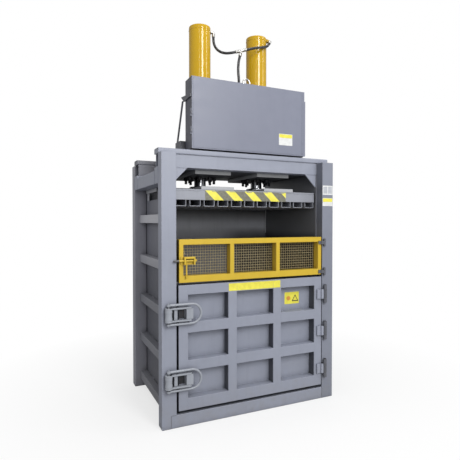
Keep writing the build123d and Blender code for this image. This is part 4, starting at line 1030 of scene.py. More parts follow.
def ferrule(start, end):
    """A crimped sleeve: its radius is the full one at two collars and drops between them in shallow rings,
    a cosine along its length."""
    radius, rings, rim_drop, crimp_depth = 14 * MM, 4, 0.16, 0.10
    start, end = np.array(start, float), np.array(end, float)
    length = np.linalg.norm(end - start)
    place = np.linspace(0, 1, 41)
    crimp = 0.5 - 0.5 * np.cos(place * 2 * np.pi * rings)
    crimp = crimp * (place > 0.15) * (place < 0.85)
    ends = np.minimum(1.0, np.minimum(place, 1 - place) * 14)
    size = radius * (1 - rim_drop * (1 - ends)) * (1 - crimp_depth * crimp)
    return turned(np.stack([size, place * length], 1), start, end - start, 28)


tee_centre = np.array((56.0, -132.0, 2968.0)) * MM
tee_arms = [unit(np.array(arm)) for arm in ((0.93, -0.27, 0.25), (-0.93, 0.27, -0.25), (-0.24, 0.0, -0.97))]
tee_arm = 20 * MM
ferrule_length = 30 * MM


def tee():
    """A forged body, three necks with union nuts, and the hoses' ferrules."""
    ball_radius, neck_radius = 15 * MM, 11 * MM
    nut_across, nut_height, nut_place = 24 * MM, 9 * MM, 10 * MM
    place = np.linspace(-1, 1, 13)
    ball = np.stack([np.sqrt(np.maximum(0.01, 1 - place ** 2)), place], 1) * ball_radius
    shapes = [turned(ball, tee_centre, (0, 1, 0), 28)]
    for arm in tee_arms:
        shapes.append(turned(round_rod(neck_radius, 0, tee_arm), tee_centre, arm, 24))
        shapes.append(hex_nut(tee_centre + arm * nut_place, arm, nut_across, nut_height))
        shapes.append(ferrule(tee_centre + arm * tee_arm, tee_centre + arm * (tee_arm + ferrule_length)))
    return shapes


port_z = 3138 * MM
port_reach = 34 * MM

# Each elbow's cylinder, the direction of its port in degrees, and its arm in millimetres
elbows = {"left": (-cylinder_x, 0.0, (0.0, 0.0, -38.0)),
          "right": (cylinder_x, -24.0, (-21.0, -19.0, -31.0))}


def elbow(centre_x, degrees, arm):
    """A bent neck out of the barrel's port, a hexagon on it and a crimped ferrule on its arm."""
    neck_radius, collar_radius, bend_radius = 11.5 * MM, 14 * MM, 14 * MM
    angle = math.radians(degrees)
    out = np.array((math.cos(angle), math.sin(angle), 0.0))
    wall = np.array((centre_x, 0.0, port_z)) + out * barrel_radius
    knee = wall + out * port_reach
    arm = np.array(arm) * MM
    path = rounded([wall - out * 6 * MM, knee, knee + arm * 0.6], bend_radius, 10, closed=False)
    return [swept(path, neck_radius, np.cross(out, arm), 24),
            hex_nut(wall - out * 2 * MM, out, 34 * MM, 14 * MM),
            turned(round_rod(collar_radius, 0, 7 * MM), wall + out * 12 * MM, out, 28),
            ferrule(knee + arm * 0.2, knee + arm)]


piece("hose_tee_fitting", tee(), finishes["bright"], nodes=["hose_tee"])
left_elbow, right_elbow = elbow(*elbows["left"]), elbow(*elbows["right"])
piece("port_elbow_fittings", left_elbow + right_elbow[-1:], finishes["bright"],
      nodes=["port_elbows"])
piece("painted_elbow", right_elbow[:-1], finishes["barrel"])


# Main frame

def channel_outline(u0, u1, v0, v1, wall, web):
    """A folded channel's section, open towards v1: its web at v0 and a wall up each side."""
    return [(u0, v0), (u1, v0), (u1, v1), (u1 - wall, v1), (u1 - wall, v0 + web), (u0 + wall, v0 + web),
            (u0 + wall, v1), (u0, v1)]


def post_shapes():
    """The left post is notched at its foot for the sill's end; the right one is a plain tube."""
    low, high = left_post
    notch_x = sill_low[0]
    outer, notched, rim = 5.5 * MM, 2.2 * MM, 2 * MM
    outline = [(low[0], low[2]), (notch_x, low[2]), (notch_x, sill_top), (high[0], sill_top),
               (high[0], high[2]), (low[0], high[2])]
    radii = [outer, notched, notched, notched, outer, outer]
    left = prism(rounded(outline, radii, 3), low[1], high[1], "y", rim, 3)
    return [left, bar(*right_post, "z", 5 * MM, rim)]


def channel_post():
    """A folded channel: its web faces the front and its flanges run to the back."""
    low, high = solids("rear_posts")[0]
    outline = channel_outline(low[0], high[0], low[1], high[1], wall=8 * MM, web=10 * MM)
    radii = np.array([7, 7, 1.5, 1.5, 3, 3, 1.5, 1.5]) * MM
    return prism(rounded(outline, radii, 4), low[2], high[2], "z", 1 * MM)


def header_shapes(low, high, web_front, web_back):
    """A cap tube over two webs and a bottom flange, which stand back at their ends. Thin plates close the
    tube's ends."""
    web_x = half_width - header_end_recess
    inner_front, inner_back = web_front + header_wall, web_back - header_wall
    flange_z = header_bottom + header_wall
    shapes = [tube((low[0], low[1], post_top), (high[0], high[1], cap_top), "x", cap_wall),
              bar((-web_x, web_front, header_bottom), (web_x, inner_front, post_top), "x", *cut_plate),
              bar((-web_x, inner_back, header_bottom), (web_x, web_back, post_top), "x", *cut_plate),
              bar((-web_x, inner_front, header_bottom), (web_x, inner_back, flange_z), "x", *cut_plate)]
    inset, thick, bite = 1.5 * MM, 3 * MM, cap_wall - 1 * MM
    for end in (low[0] + inset, high[0] - inset - thick):
        shapes.append(bar((end, low[1] + bite, post_top + bite),
                          (end + thick, high[1] - bite, cap_top - bite), "x", *thin_sheet))
    return shapes


def side_header_shapes():
    """One long beam and, at its ends, the hangers that carry the cross beams."""
    x0, x1 = beam_low[0], -post_inner_x
    bottom = beam_low[2]
    return [bar((x0, header_back_y, bottom), (x1, rear_header_y, beam_top), "y", *rolled_tube),
            bar((x0, front_inner_y, bottom), (x1, header_back_y, header_bottom), "z", *rolled_tube),
            bar((x0, rear_header_y, bottom), (x1, rear_web_y, header_bottom), "z", *rolled_tube)]


def gusset_shape():
    """A triangle of plate in the corner between post and header, its corners turned off round."""
    outline = [(gusset_low[0], gusset_low[2]), (gusset_low[0] + gusset_run, gusset_high[2]),
               (gusset_low[0], gusset_high[2])]
    return prism(rounded(outline, 2 * MM, 3), gusset_low[1], gusset_high[1], "y", 1.2 * MM)


def window_frame_shape():
    """A flat angle of plate over the window and down its rear edge."""
    low, high = solids("window_frames")[0]
    opening_top, opening_rear, rear_width = 1752 * MM, 287 * MM, 40 * MM
    rear_edge = opening_rear + rear_width
    outline = [(opening_rear, low[2]), (rear_edge, low[2]), (rear_edge, opening_top),
               (high[1], opening_top), (high[1], high[2]), (low[1], high[2]), (low[1], opening_top),
               (opening_rear, opening_top)]
    return prism(rounded(outline, 1.6 * MM, 3), low[0], high[0], "x", 1 * MM)


piece("front_post_tubes", post_shapes(), finishes["post"], nodes=["front_posts"])
piece("rear_post_channels", both_sides([channel_post()]), finishes["rear_post"],
      nodes=["rear_posts"])
piece("sill_beam", [bar(sill_low, sill_high, "x", *thick_tube)], finishes["body"],
      nodes=["sill"])
piece("front_header_beam", header_shapes(cap_low, cap_high, front_inner_y, header_back_y), finishes["body"],
      nodes=["front_header"])
piece("rear_header_beam", header_shapes(rear_cap_low, rear_cap_high, rear_header_y, rear_web_y),
      finishes["wall"], nodes=["rear_header"])
piece("side_header_beams", both_sides(side_header_shapes()), finishes["body"],
      nodes=["side_headers"])
piece("header_gusset_plates", both_sides([gusset_shape()]), finishes["body"],
      nodes=["header_gussets"])
piece("side_rib_tubes", [bar(low, high, "y", *rolled_tube) for low, high in solids("side_ribs")],
      finishes["rib"], nodes=["side_ribs"])
piece("rear_rib_tubes", [tube(low, high, "x", 5 * MM) for low, high in solids("rear_ribs")],
      finishes["wall"], nodes=["rear_ribs"])
piece("window_frame_plates", both_sides([window_frame_shape()]), finishes["frame_plate"],
      nodes=["window_frames"])


# Press cylinders

def barrel_shape(centre_x):
    """A flanged tube with a rolled bead where the tube meets its flange."""
    flange_radius, edge, rim = 145 * MM, 2 * MM, 0.8 * MM
    top = corners_of("cylinder_barrels")[1][2]
    profile = [(flange_radius - edge, deck_top), (flange_radius, deck_top + edge),
               (flange_radius, flange_top - edge), (flange_radius - edge, flange_top),
               (barrel_radius + 9 * MM, flange_top), (barrel_radius + 7 * MM, flange_top + 4 * MM),
               (barrel_radius + 1.5 * MM, flange_top + 9 * MM), (barrel_radius, flange_top + 10 * MM),
               (barrel_radius, top - rim), (barrel_radius - rim, top)]
    return turned(profile, (centre_x, 0, 0), steps=96)


def barrel_cap_shape(centre_x):
    """A welded end cap with a turned-off rim and a shallow groove under it."""
    low, high = corners_of("barrel_caps")
    chamfer = 4 * MM
    profile = [(barrel_radius - 1.6 * MM, low[2]), (barrel_radius - 0.2 * MM, low[2] + 1.4 * MM),
               (barrel_radius, low[2] + 2 * MM), (barrel_radius, high[2] - chamfer),
               (barrel_radius - chamfer * 0.35, high[2] - chamfer * 0.28),
               (barrel_radius - chamfer, high[2]), (barrel_radius - 30 * MM, high[2])]
    return turned(profile, (centre_x, 0, 0), steps=96)


def bolt_centres():
    """Eight places round each cylinder, the first half a step from the X axis."""
    degrees, ring_radius = 45.0, 120 * MM
    angle = np.radians(np.arange(8) * degrees + degrees / 2)
    ring = ring_radius * np.stack([np.cos(angle), np.sin(angle)], 1)
    return np.concatenate([ring + (centre, 0.0) for centre in (-cylinder_x, cylinder_x)])


def flange_bolt(x, y):
    """A hexagon head, a shank and, under the seat, a nut with the thread's end standing out of it."""
    low, high = corners_of("flange_bolts")
    across, nut, pitch = 36 * MM, 22 * MM, 3.5 * MM
    tip, root, crest = 9.5 * MM, 10.6 * MM, 12 * MM
    turns = np.arange(0, int((seat_bottom - nut - low[2]) / pitch))
    height = low[2] + 1.5 * MM + (turns[:, None] + np.array((0.0, 0.5))) * pitch
    radius = np.broadcast_to(np.array((root, crest)), height.shape)
    thread = np.stack([radius.ravel(), height.ravel()], 1)
    thread = np.vstack([[(tip, low[2])], thread, [(crest, flange_top)]])
    return [turned(thread, (x, y, 0), steps=16),
            hex_nut((x, y, flange_top), (0, 0, 1), across, high[2] - flange_top),
            hex_nut((x, y, seat_bottom - nut), (0, 0, 1), across, nut)]


def rod_shape(centre_x):
    """A ground rod on its foot disc."""
    low, high = corners_of("piston_rods")
    foot, rod, rim = 90 * MM, 50 * MM, 2 * MM
    foot_top = low[2] + 25 * MM
    profile = [(foot - rim, low[2]), (foot, low[2] + rim), (foot, foot_top - rim), (foot - rim, foot_top),
               (rod + 7 * MM, foot_top), (rod + 1.5 * MM, foot_top + 5 * MM), (rod, foot_top + 8 * MM),
               (rod, high[2])]
    return turned(profile, (centre_x, 0, 0), steps=64)


piece("cylinder_barrel_tubes", [barrel_shape(-cylinder_x), barrel_shape(cylinder_x)], finishes["barrel"],
      nodes=["cylinder_barrels"])
piece("barrel_end_caps", [barrel_cap_shape(-cylinder_x), barrel_cap_shape(cylinder_x)], finishes["barrel"],
      nodes=["barrel_caps"])
piece("flange_bolt_set", [shape for x, y in bolt_centres() for shape in flange_bolt(x, y)],
      finishes["bolt"], nodes=["flange_bolts"])
piece("ground_rods", [rod_shape(-cylinder_x), rod_shape(cylinder_x)], finishes["rod"], body="platen",
      nodes=["piston_rods"])


# Platen

def strap_channel_shape(low, high):
    """A folded channel under the platen, open upwards, its outline carried from front to back."""
    wall = 5 * MM
    outline = channel_outline(low[0], high[0], low[2], high[2], wall, web=wall)
    radii = np.array([6, 6, 1, 1, 2, 2, 1, 1]) * MM
    return prism(rounded(outline, radii, 3), low[1], high[1], "y", 0.6 * MM)


piece("platen_block", [bar(platen_low, platen_high, "x", 3 * MM, 2 * MM)], finishes["platen"],
      body="platen", nodes=["platen"])
piece("platen_cover_plate", [bar((platen_low[0], platen_low[1], tray_top),
                                 (platen_high[0], platen_high[1], platen_top), "x", 2 * MM, 1.5 * MM)],
      finishes["platen"], body="platen", nodes=["platen_top_plate"])
piece("strap_channel_set", [strap_channel_shape(low, high) for low, high in solids("strap_channels")],
      finishes["platen"], body="platen", nodes=["strap_channels"])
piece("rod_pad_plates", [bar(low, high, "y", *forged_block) for low, high in solids("rod_pads")],
      finishes["pale"], body="platen", nodes=["rod_pads"])

tape_left, tape_right = -379 * MM, 342 * MM
tape_bottom, tape_top = platen_low[2], platen_top - 7 * MM
tape = hazard_film("hazard_tape_film", first_top=tape_left, pitch=168 * MM, width=80 * MM, slant=78 * MM,
                   bottom=tape_bottom, top=tape_top)
piece("hazard_tape", [bar((tape_left, platen_low[1] - 0.5 * MM, tape_bottom + 1 * MM),
                          (tape_right, platen_low[1] + 1 * MM, tape_top), "x", 0.4 * MM, 0.3 * MM)],
      tape, body="platen")


# Bale door

upright = 72.25 * MM
recess_width, recess_height = 323 * MM, 201 * MM
bottom_rail, middle_rail, top_rail = 86 * MM, 79 * MM, 72 * MM
door_columns = door_low[0] + np.cumsum([0, upright] + [recess_width, upright] * 3)
door_rows = door_low[2] + np.cumsum([0, bottom_rail, recess_height, middle_rail, recess_height, middle_rail,
                                     recess_height, top_rail])


def door_frame_shape():
    """One welded front face round nine recesses, laid out on a net of eight lines each way."""
    even = np.arange(7) % 2 == 0
    solid = even[:, None] | even[None, :]
    return plate_with_holes(door_columns, door_rows, solid, door_low[1], door_high[1], "y")


piece("bale_door_frame", [door_frame_shape()], finishes["door"], body="door",
      nodes=["door_frame"], bevel=2.6 * MM)


# Feed gate

stile, mullion = 33 * MM, 34 * MM
gate_top_rail, gate_bottom_rail = 40 * MM, 49 * MM
window_width = (gate_high[0] - gate_low[0] - 2 * stile - 2 * mullion) / 3
window_bottom, window_top = gate_low[2] + gate_bottom_rail, gate_high[2] - gate_top_rail
gate_columns = gate_low[0] + np.cumsum([0, stile, window_width, mullion, window_width, mullion,
                                        window_width, stile])
gate_rows = np.array((gate_low[2], window_bottom, window_top, gate_high[2]))


def gate_frame_shape():
    """Two stiles, two rails and two mullions in one welded face."""
    solid = (np.arange(7)[:, None] % 2 == 0) | (np.arange(3)[None, :] != 1)
    return plate_with_holes(gate_columns, gate_rows, solid, gate_low[1], gate_high[1], "y")


def wire_set(fixed, low, high, crossings, phase, along, depth_y, wire):
    """Crimped wires, all at once: each runs along one direction and swings in depth by a cosine that turns
    half a turn from one crossing to the next, so that it passes before one wire and behind the next."""
    first, pitch, count = crossings
    sides, rings = 6, (count + 1) * 6
    place = np.linspace(low, high, rings)
    swing = wire * 0.52 * np.cos(np.pi * (place - first) / pitch)
    sign = np.where(np.arange(len(fixed)) % 2 == phase, 1.0, -1.0)
    points = np.zeros((len(fixed), rings, sides, 3))
    angle = np.linspace(0, 2 * np.pi, sides, endpoint=False)
    u, v = (0, 2) if along == "x" else (2, 0)
    points[..., u] = place[None, :, None]
    points[..., v] = fixed[:, None, None] + wire / 2 * np.cos(angle)
    points[..., 1] = depth_y + sign[:, None, None] * swing[None, :, None] + wire / 2 * np.sin(angle)
    return [skin(one, flip=along == "z") for one in points]


def mesh_shapes():
    """Three woven panels behind the windows, their wires lapped on to the frame's back."""
    low, high = corners_of("gate_mesh")
    depth_y = (low[1] + high[1]) / 2
    wire, lap = 3.0 * MM, 7 * MM
    columns, rows = 18, 11
    pitch_x, pitch_z = window_width / columns, (window_top - window_bottom) / rows
    zs = window_bottom + (np.arange(rows) + 0.5) * pitch_z
    shapes = []
    for x0 in gate_columns[1:-1:2]:
        xs = x0 + (np.arange(columns) + 0.5) * pitch_x
        shapes += wire_set(zs, x0 - lap, x0 + window_width + lap, (xs[0], pitch_x, columns), 0, "x",
                           depth_y, wire)
        shapes += wire_set(xs, window_bottom - lap, window_top + lap, (zs[0], pitch_z, rows), 1, "z",
                           depth_y, wire)
    return shapes


piece("feed_gate_frame", [gate_frame_shape()], finishes["gate"], body="gate",
      nodes=["gate_frame"], bevel=2.4 * MM)
piece("gate_wire_mesh", mesh_shapes(), finishes["wire"], body="gate", nodes=["gate_mesh"])


# Hinges

# The pins' x and y, and the knuckles' radius
door_hinge = (660 * MM, -516 * MM, 15 * MM)
gate_hinge = (656 * MM, -512 * MM, 10 * MM)
door_hinge_height, gate_hinge_height = 152 * MM, 60 * MM
door_leaf, gate_leaf = 14 * MM, 8 * MM


def knuckle_shapes(leaves, x, y, radius, height):
    """The fixed knuckles of a row of hinges on their pads, one above and one below each moving one."""
    shapes = []
    for low, high in solids(leaves):
        z = (low[2] + high[2]) / 2
        half, inner = height / 2, (high[2] - low[2]) / 2 + 0.5 * MM
        for z0, z1 in ((z - half, z - inner), (z + inner, z + half)):
            shapes.append(turned(round_rod(radius, z0, z1, 1.2 * MM), (x, y, 0), steps=28))
            shapes.append(bar((x - radius / 2, y, z0), (x + radius, front_y, z1), "z", *cut_plate))
    return shapes


def leaf_shapes(node, x, y, radius, leaf, seat_x):
    """Moving knuckles, each with its flat leaf welded to the door's face and the neck between them."""
    neck_x = x - radius / 2
    shapes = []
    for low, high in solids(node):
        shapes += [turned(round_rod(radius, low[2], high[2], 1.0 * MM), (x, y, 0), steps=28),
                   bar((low[0], front_y - leaf, low[2]), (seat_x, front_y, high[2]), "z", *hinge_leaf),
                   bar((seat_x - leaf, y - leaf / 2, low[2]), (neck_x, y + leaf / 2, high[2]), "z",
                       *hinge_leaf)]
    return shapes


def pin_shapes():
    """Headed pins: a rod with a low domed head."""
    shapes = []
    for low, high in solids("hinge_pins"):
        head = (high[0] - low[0]) / 2
        rod = head / 1.5
        top, head_bottom = high[2], high[2] - 4 * MM
        profile = [(rod - 1 * MM, low[2]), (rod, low[2] + 1 * MM), (rod, head_bottom),
                   (head - 0.4 * MM, head_bottom), (head, top - 3 * MM), (head * 0.86, top - 1 * MM),
                   (head * 0.5, top)]
        shapes.append(turned(profile, ((low[0] + high[0]) / 2, (low[1] + high[1]) / 2, 0), steps=24))
    return shapes


piece("fixed_hinge_knuckles", knuckle_shapes("door_hinge_leaves", *door_hinge, door_hinge_height)
      + knuckle_shapes("gate_hinge_leaves", *gate_hinge, gate_hinge_height),
      finishes["hinge"], nodes=["post_hinge_knuckles"])
piece("hinge_pin_set", pin_shapes(), finishes["bolt"], nodes=["hinge_pins"])
piece("door_hinge_leaf_set", leaf_shapes("door_hinge_leaves", *door_hinge, door_leaf, door_high[0]),
      finishes["door_leaf"], body="door", nodes=["door_hinge_leaves"])
piece("gate_hinge_leaf_set", leaf_shapes("gate_hinge_leaves", *gate_hinge, gate_leaf, gate_high[0]),
      finishes["hinge"], body="gate", nodes=["gate_hinge_leaves"])


# Door latches

latch_y = -532 * MM
latch_pin_x = -550 * MM
latch_barrel_x = -708 * MM
latch_barrel_radius = 26 * MM
latch_pin_radius = 6 * MM
latch_block_half = 38 * MM
barrel_axis = (latch_barrel_x, latch_y, 0)
handle_rod = 9 * MM
handle_half = 70 * MM
handle_bend_x = -533 * MM


def stadium(x0, x1, y, half):
    """A bar's outline with a half circle at each end."""
    angle = np.linspace(-np.pi / 2, np.pi / 2, 13)
    right = np.stack([x1 + half * np.cos(angle), y + half * np.sin(angle)], 1)
    left = np.stack([x0 - half * np.cos(angle), y - half * np.sin(angle)], 1)
    return np.vstack([right, left])


def yoke_shapes(node):
    """Two flat bars, the draw barrel between their left ends and the long pin through it. The barrel is
    turned thinner along its middle."""
    low, high = corners_of(node)
    z = (low[2] + high[2]) / 2
    half, thick, edge = 38.5 * MM, 12 * MM, 1.2 * MM
    full, rim, groove = latch_barrel_radius, 1 * MM, 2 * MM
    outline = stadium(latch_barrel_x, latch_pin_x, latch_y, 13 * MM)
    shapes = []
    for z0 in (z + half, z - half - thick):
        shapes.append(prism(outline, z0, z0 + thick, "z", edge))
        shapes.append(turned(round_rod(full, z0, z0 + thick, edge), barrel_axis, steps=40))
    upper = [(full - groove, 14 * MM), (full, 16 * MM), (full, half - rim), (full - rim, half)]
    waist = [(radius, z - height) for radius, height in reversed(upper)]
    waist += [(radius, z + height) for radius, height in upper]
    shapes.append(turned(waist, barrel_axis, steps=40))
    shapes.append(turned(round_rod(latch_pin_radius, low[2], high[2]), barrel_axis, steps=20))
    return shapes


def handle_shapes(node):
    """A round bar bent to a U whose legs end in eyes on the barrel's pin. The bend is a half circle."""
    low, high = corners_of(node)
    z = (low[2] + high[2]) / 2
    angle = np.linspace(np.pi / 2, -np.pi / 2, 33)
    bend = np.stack([handle_bend_x + handle_half * np.cos(angle), np.full(33, latch_y),
                     z + handle_half * np.sin(angle)], 1)
    leg = np.linspace(latch_barrel_x + 8 * MM, handle_bend_x - 5 * MM, 6)
    upper = np.stack([leg, np.full(6, latch_y), np.full(6, z + handle_half)], 1)
    lower = np.stack([leg[::-1], np.full(6, latch_y), np.full(6, z - handle_half)], 1)
    shapes = [swept(np.vstack([upper, bend, lower]), handle_rod, (0, 1, 0), 18)]
    hole, eye, eye_half, rim = 6.3 * MM, 14 * MM, 7 * MM, 1 * MM
    for height in (z - handle_half, z + handle_half):
        bottom, top = height - eye_half, height + eye_half
        ring = [(hole, bottom), (eye - rim, bottom), (eye, bottom + rim), (eye, top - rim),
                (eye - rim, top), (hole, top)]
        shapes.append(turned(ring, barrel_axis, steps=32, loop=True))
    return shapes


def block_shapes():
    """The door's latch blocks, each with its pivot pin standing out above and below."""
    shapes = []
    for low, high in solids("latch_blocks"):
        z = (low[2] + high[2]) / 2
        shapes.append(bar((low[0], low[1], z - latch_block_half), (high[0], high[1], z + latch_block_half),
                          "z", *forged_block))
        shapes.append(turned(round_rod(latch_pin_radius, low[2], high[2]), (latch_pin_x, latch_y, 0),
                             steps=20))
    return shapes


def shadow_pad_shapes():
    """Thin dark pads on the door's face, one at each latch block: painted shade of the latch bars."""
    left, right, inset = -622 * MM, -579 * MM, 14 * MM
    return [bar((left, front_y - 1.2 * MM, low[2] + inset), (right, front_y + 1 * MM, high[2] - inset), "z",
                *thin_sheet) for low, high in solids("latch_blocks")]


piece("post_keepers", [bar(low, high, "z", *forged_block) for low, high in solids("latch_keepers")],
      finishes["latch"], nodes=["latch_keepers"])
piece("latch_shadow_pads", shadow_pad_shapes(), finishes["bolt"], body="door")
piece("latch_block_set", block_shapes(), finishes["latch"], body="door",
      nodes=["latch_blocks"])
for level in ("upper", "lower"):
    piece(f"{level}_yoke_bars", yoke_shapes(f"{level}_latch_yoke"), finishes["latch"], body=f"{level}_yoke",
          nodes=[f"{level}_latch_yoke"])
    piece(f"{level}_pull_handle", handle_shapes(f"{level}_latch_handle"), finishes["latch"],
          body=f"{level}_handle", nodes=[f"{level}_latch_handle"])


# Gate bolt

bolt_z = 1216 * MM
bolt_y = -517 * MM


def bolt_housing_shapes():
    """A plate on the stile, two lugs and a strip over them."""
    low, high = corners_of("gate_bolt_housing")
    plate = front_y - 5 * MM
    left, lug, strip, corner = -589 * MM, 11 * MM, 15 * MM, 3 * MM
    return [bar((low[0], plate, low[2]), (high[0], front_y, high[2]), "z", *flat_plate),
            bar((left, low[1], low[2]), (left + lug, plate, high[2]), "x", corner, 1 * MM),
            bar((high[0] - lug, low[1], low[2]), (high[0], plate, high[2]), "x", corner, 1 * MM),
            bar((left + lug, low[1], high[2] - strip), (high[0] - lug, plate, high[2]), "x", corner,
                0.5 * MM)]


def bolt_shapes():
    """A round bolt with a hanging finger rod screwed into it, its end dipped."""
    low, high = corners_of("gate_bolt")
    length = high[0] - low[0]
    handle_x, dip, rod, neck = -569 * MM, low[2] + 14 * MM, 6 * MM, 5.4 * MM
    round_bar = [(6 * MM, 0), (8 * MM, 3 * MM), (8 * MM, length - 1 * MM), (7 * MM, length)]
    knob = [(rod - 1 * MM, low[2]), (rod, low[2] + 1 * MM), (rod, dip), (neck, dip + 2 * MM),
            (neck, bolt_z - 12 * MM), (rod, bolt_z - 11 * MM), (rod, bolt_z)]
    return [turned(round_bar, (low[0], bolt_y, bolt_z), (1, 0, 0), 24),
            turned(knob, (handle_x, bolt_y, 0), steps=18)]


piece("bolt_housing", bolt_housing_shapes(), finishes["gate"], body="gate",
      nodes=["gate_bolt_housing"])
piece("sliding_bolt", bolt_shapes(), finishes["bolt_bar"], body="gate_bolt",
      nodes=["gate_bolt"])


# Power cabinet

stay_x = cabinet_low[0]
prop_left, prop_right = stay_x - 40 * MM, stay_x + 20 * MM
prop_front, prop_back = -262 * MM, -139 * MM
tank_low, tank_high = corners_of("oil_tank")
tank_middle_y = (tank_low[1] + tank_high[1]) / 2


def cabinet_door_shapes():
    """A folded front panel with a stiffening frame behind it, beads along three edges and a knuckle at
    each hinge."""
    panel_low, panel_high = corners_of("cabinet_door")
    left, right, bottom, top = cabinet_low[0], panel_high[0], panel_low[2], cabinet_high[2]
    front, back = cabinet_front_y, cabinet_front_y + 3 * MM
    shapes = [bar((left, front, bottom), (right, back, top), "y", 2.2 * MM, 1.3 * MM)]
    inset, width, depth = 22 * MM, 30 * MM, 9 * MM
    u = np.array((left + inset, left + inset + width, right - inset - width, right - inset))
    v = np.array((bottom + inset, bottom + inset + width, top - inset - width, top - inset))
    solid = np.ones((3, 3), bool)
    solid[1, 1] = False
    shapes.append(plate_with_holes(u, v, solid, back, back + depth, "y"))
    hem, hem_bead = 11 * MM, 1.8 * MM
    hem_left, hem_right, hem_bottom, hem_top = left + hem, right - hem, bottom + hem, top - 3 * MM
    for path in (line_up(hem_left, front, hem_bottom, hem_top),
                 line_across(hem_left, hem_right, front, hem_bottom),
                 line_up(hem_right, front, hem_bottom, hem_top)):
        shapes.append(bead(path, hem_bead))
    hinge_x, radius, half = left - 7 * MM, 6 * MM, 10 * MM
    for z in (2317 * MM, 2181 * MM):
        shapes.append(turned(round_rod(radius, z - half, z + half), (hinge_x, front, 0), steps=20))
        shapes.append(bar((hinge_x, front - radius, z - half), (left + 7 * MM, front, z + half), "z",
                          1 * MM, 0.8 * MM))
    return shapes


def side_trim_shape():
    """The folded edge of the cabinet's front, down its right side."""
    side, width = cabinet_high[0], 13 * MM
    front, back, bottom, top = -421 * MM, -398 * MM, 2053 * MM, 2512 * MM
    return bar((side, front, bottom), (side + width, back, top), "z", 2.5 * MM, 1.2 * MM)


def stay_shapes():
    """The wedge bracket, the sloping flat bar and the prop on the deck."""
    thick = 10 * MM
    wedge = np.array(((-413.0, 2438.0), (-263.0, 2434.0), (-193.0, 2486.0), (-413.0, 2459.0))) * MM
    top_y, top_z, foot_y, half = -256 * MM, 2439 * MM, -15 * MM, 11 * MM
    slope = [(top_y - half, top_z), (foot_y - half, deck_top), (foot_y + half, deck_top),
             (top_y + half, top_z)]
    return [prism(rounded(wedge, 2 * MM, 3), stay_x - thick, stay_x, "x", 1 * MM),
            prism(rounded(slope, 1.5 * MM, 3), stay_x - 2 * thick, stay_x - thick, "x", 1 * MM),
            bar((prop_left, prop_front, deck_top), (prop_right, prop_back, 2130 * MM), "z", *thick_tube)]


def outlet_shapes():
    """The pressure outlet: a pipe from the manifold, through the cabinet's back and up behind it, a nut
    where it comes through and the feed hose's ferrule on its end."""
    x, outlet_y, outlet_z = -16 * MM, -240 * MM, 2626 * MM
    wall_z = 2565 * MM
    manifold_top = corners_of("valve_manifold")[1][2]
    path = rounded([(x, tank_middle_y, manifold_top), (x, tank_middle_y, wall_z), (x, outlet_y, wall_z),
                    (x, outlet_y, outlet_z - 28 * MM)], [16 * MM, 15 * MM], 10, closed=False)
    return [swept(path, 9 * MM, (1, 0, 0), 20),
            hex_nut((x, cabinet_high[1], wall_z), (0, 1, 0), 34 * MM, 14 * MM),
            ferrule((x, outlet_y, outlet_z - 36 * MM), (x, outlet_y, outlet_z))]


def roof_pipe_shapes():
    """A bent pipe between two unions on the cabinet's roof. The bend is a half circle."""
    y, x0, x1, roof = -350 * MM, -31 * MM, 27 * MM, cabinet_high[2]
    radius, shoulder = (x1 - x0) / 2, roof + 32 * MM
    angle = np.linspace(np.pi, 0, 21)
    bend = np.stack([(x0 + x1) / 2 + radius * np.cos(angle), np.full(21, y),
                     shoulder + radius * np.sin(angle)], 1)
    path = np.vstack([[(x0, y, roof)], bend, [(x1, y, roof)]])
    return [swept(path, 7 * MM, (0, 1, 0), 18)] + [hex_nut((x, y, roof), (0, 0, 1), 21 * MM, 16 * MM)
                                                   for x in (x0, x1)]


def gland_shape():
    """The supply cable's gland at the cabinet's back."""
    x, z, hole = 420 * MM, 2120 * MM, 11 * MM
    ring = [(hole, 0), (17 * MM, 0), (17 * MM, 10 * MM), (16 * MM, 11 * MM), (16 * MM, 29 * MM),
            (15 * MM, 30 * MM), (hole, 30 * MM)]
    return turned(ring, (x, cabinet_high[1], z), (0, 1, 0), 32, loop=True)


piece("cabinet_side_trim", [side_trim_shape()], finishes["cabinet"])
piece("cabinet_front_door", cabinet_door_shapes(), finishes["cabinet"], body="cabinet_door",
      nodes=["cabinet_door"])
piece("cabinet_stay_set", stay_shapes(), finishes["stay"], nodes=["cabinet_stay"])
piece("cabinet_pipework", outlet_shapes() + roof_pipe_shapes() + [gland_shape()], finishes["bright"],
      nodes=["cabinet_fittings"])


# Inside the cabinet

widest_gear_box = 60 * MM
gear_parts = solids("control_gear")
gear_boxes = [(low, high) for low, high in gear_parts if high[0] - low[0] < widest_gear_box]
gear_plate = [(low, high) for low, high in gear_parts if high[0] - low[0] > widest_gear_box][0]


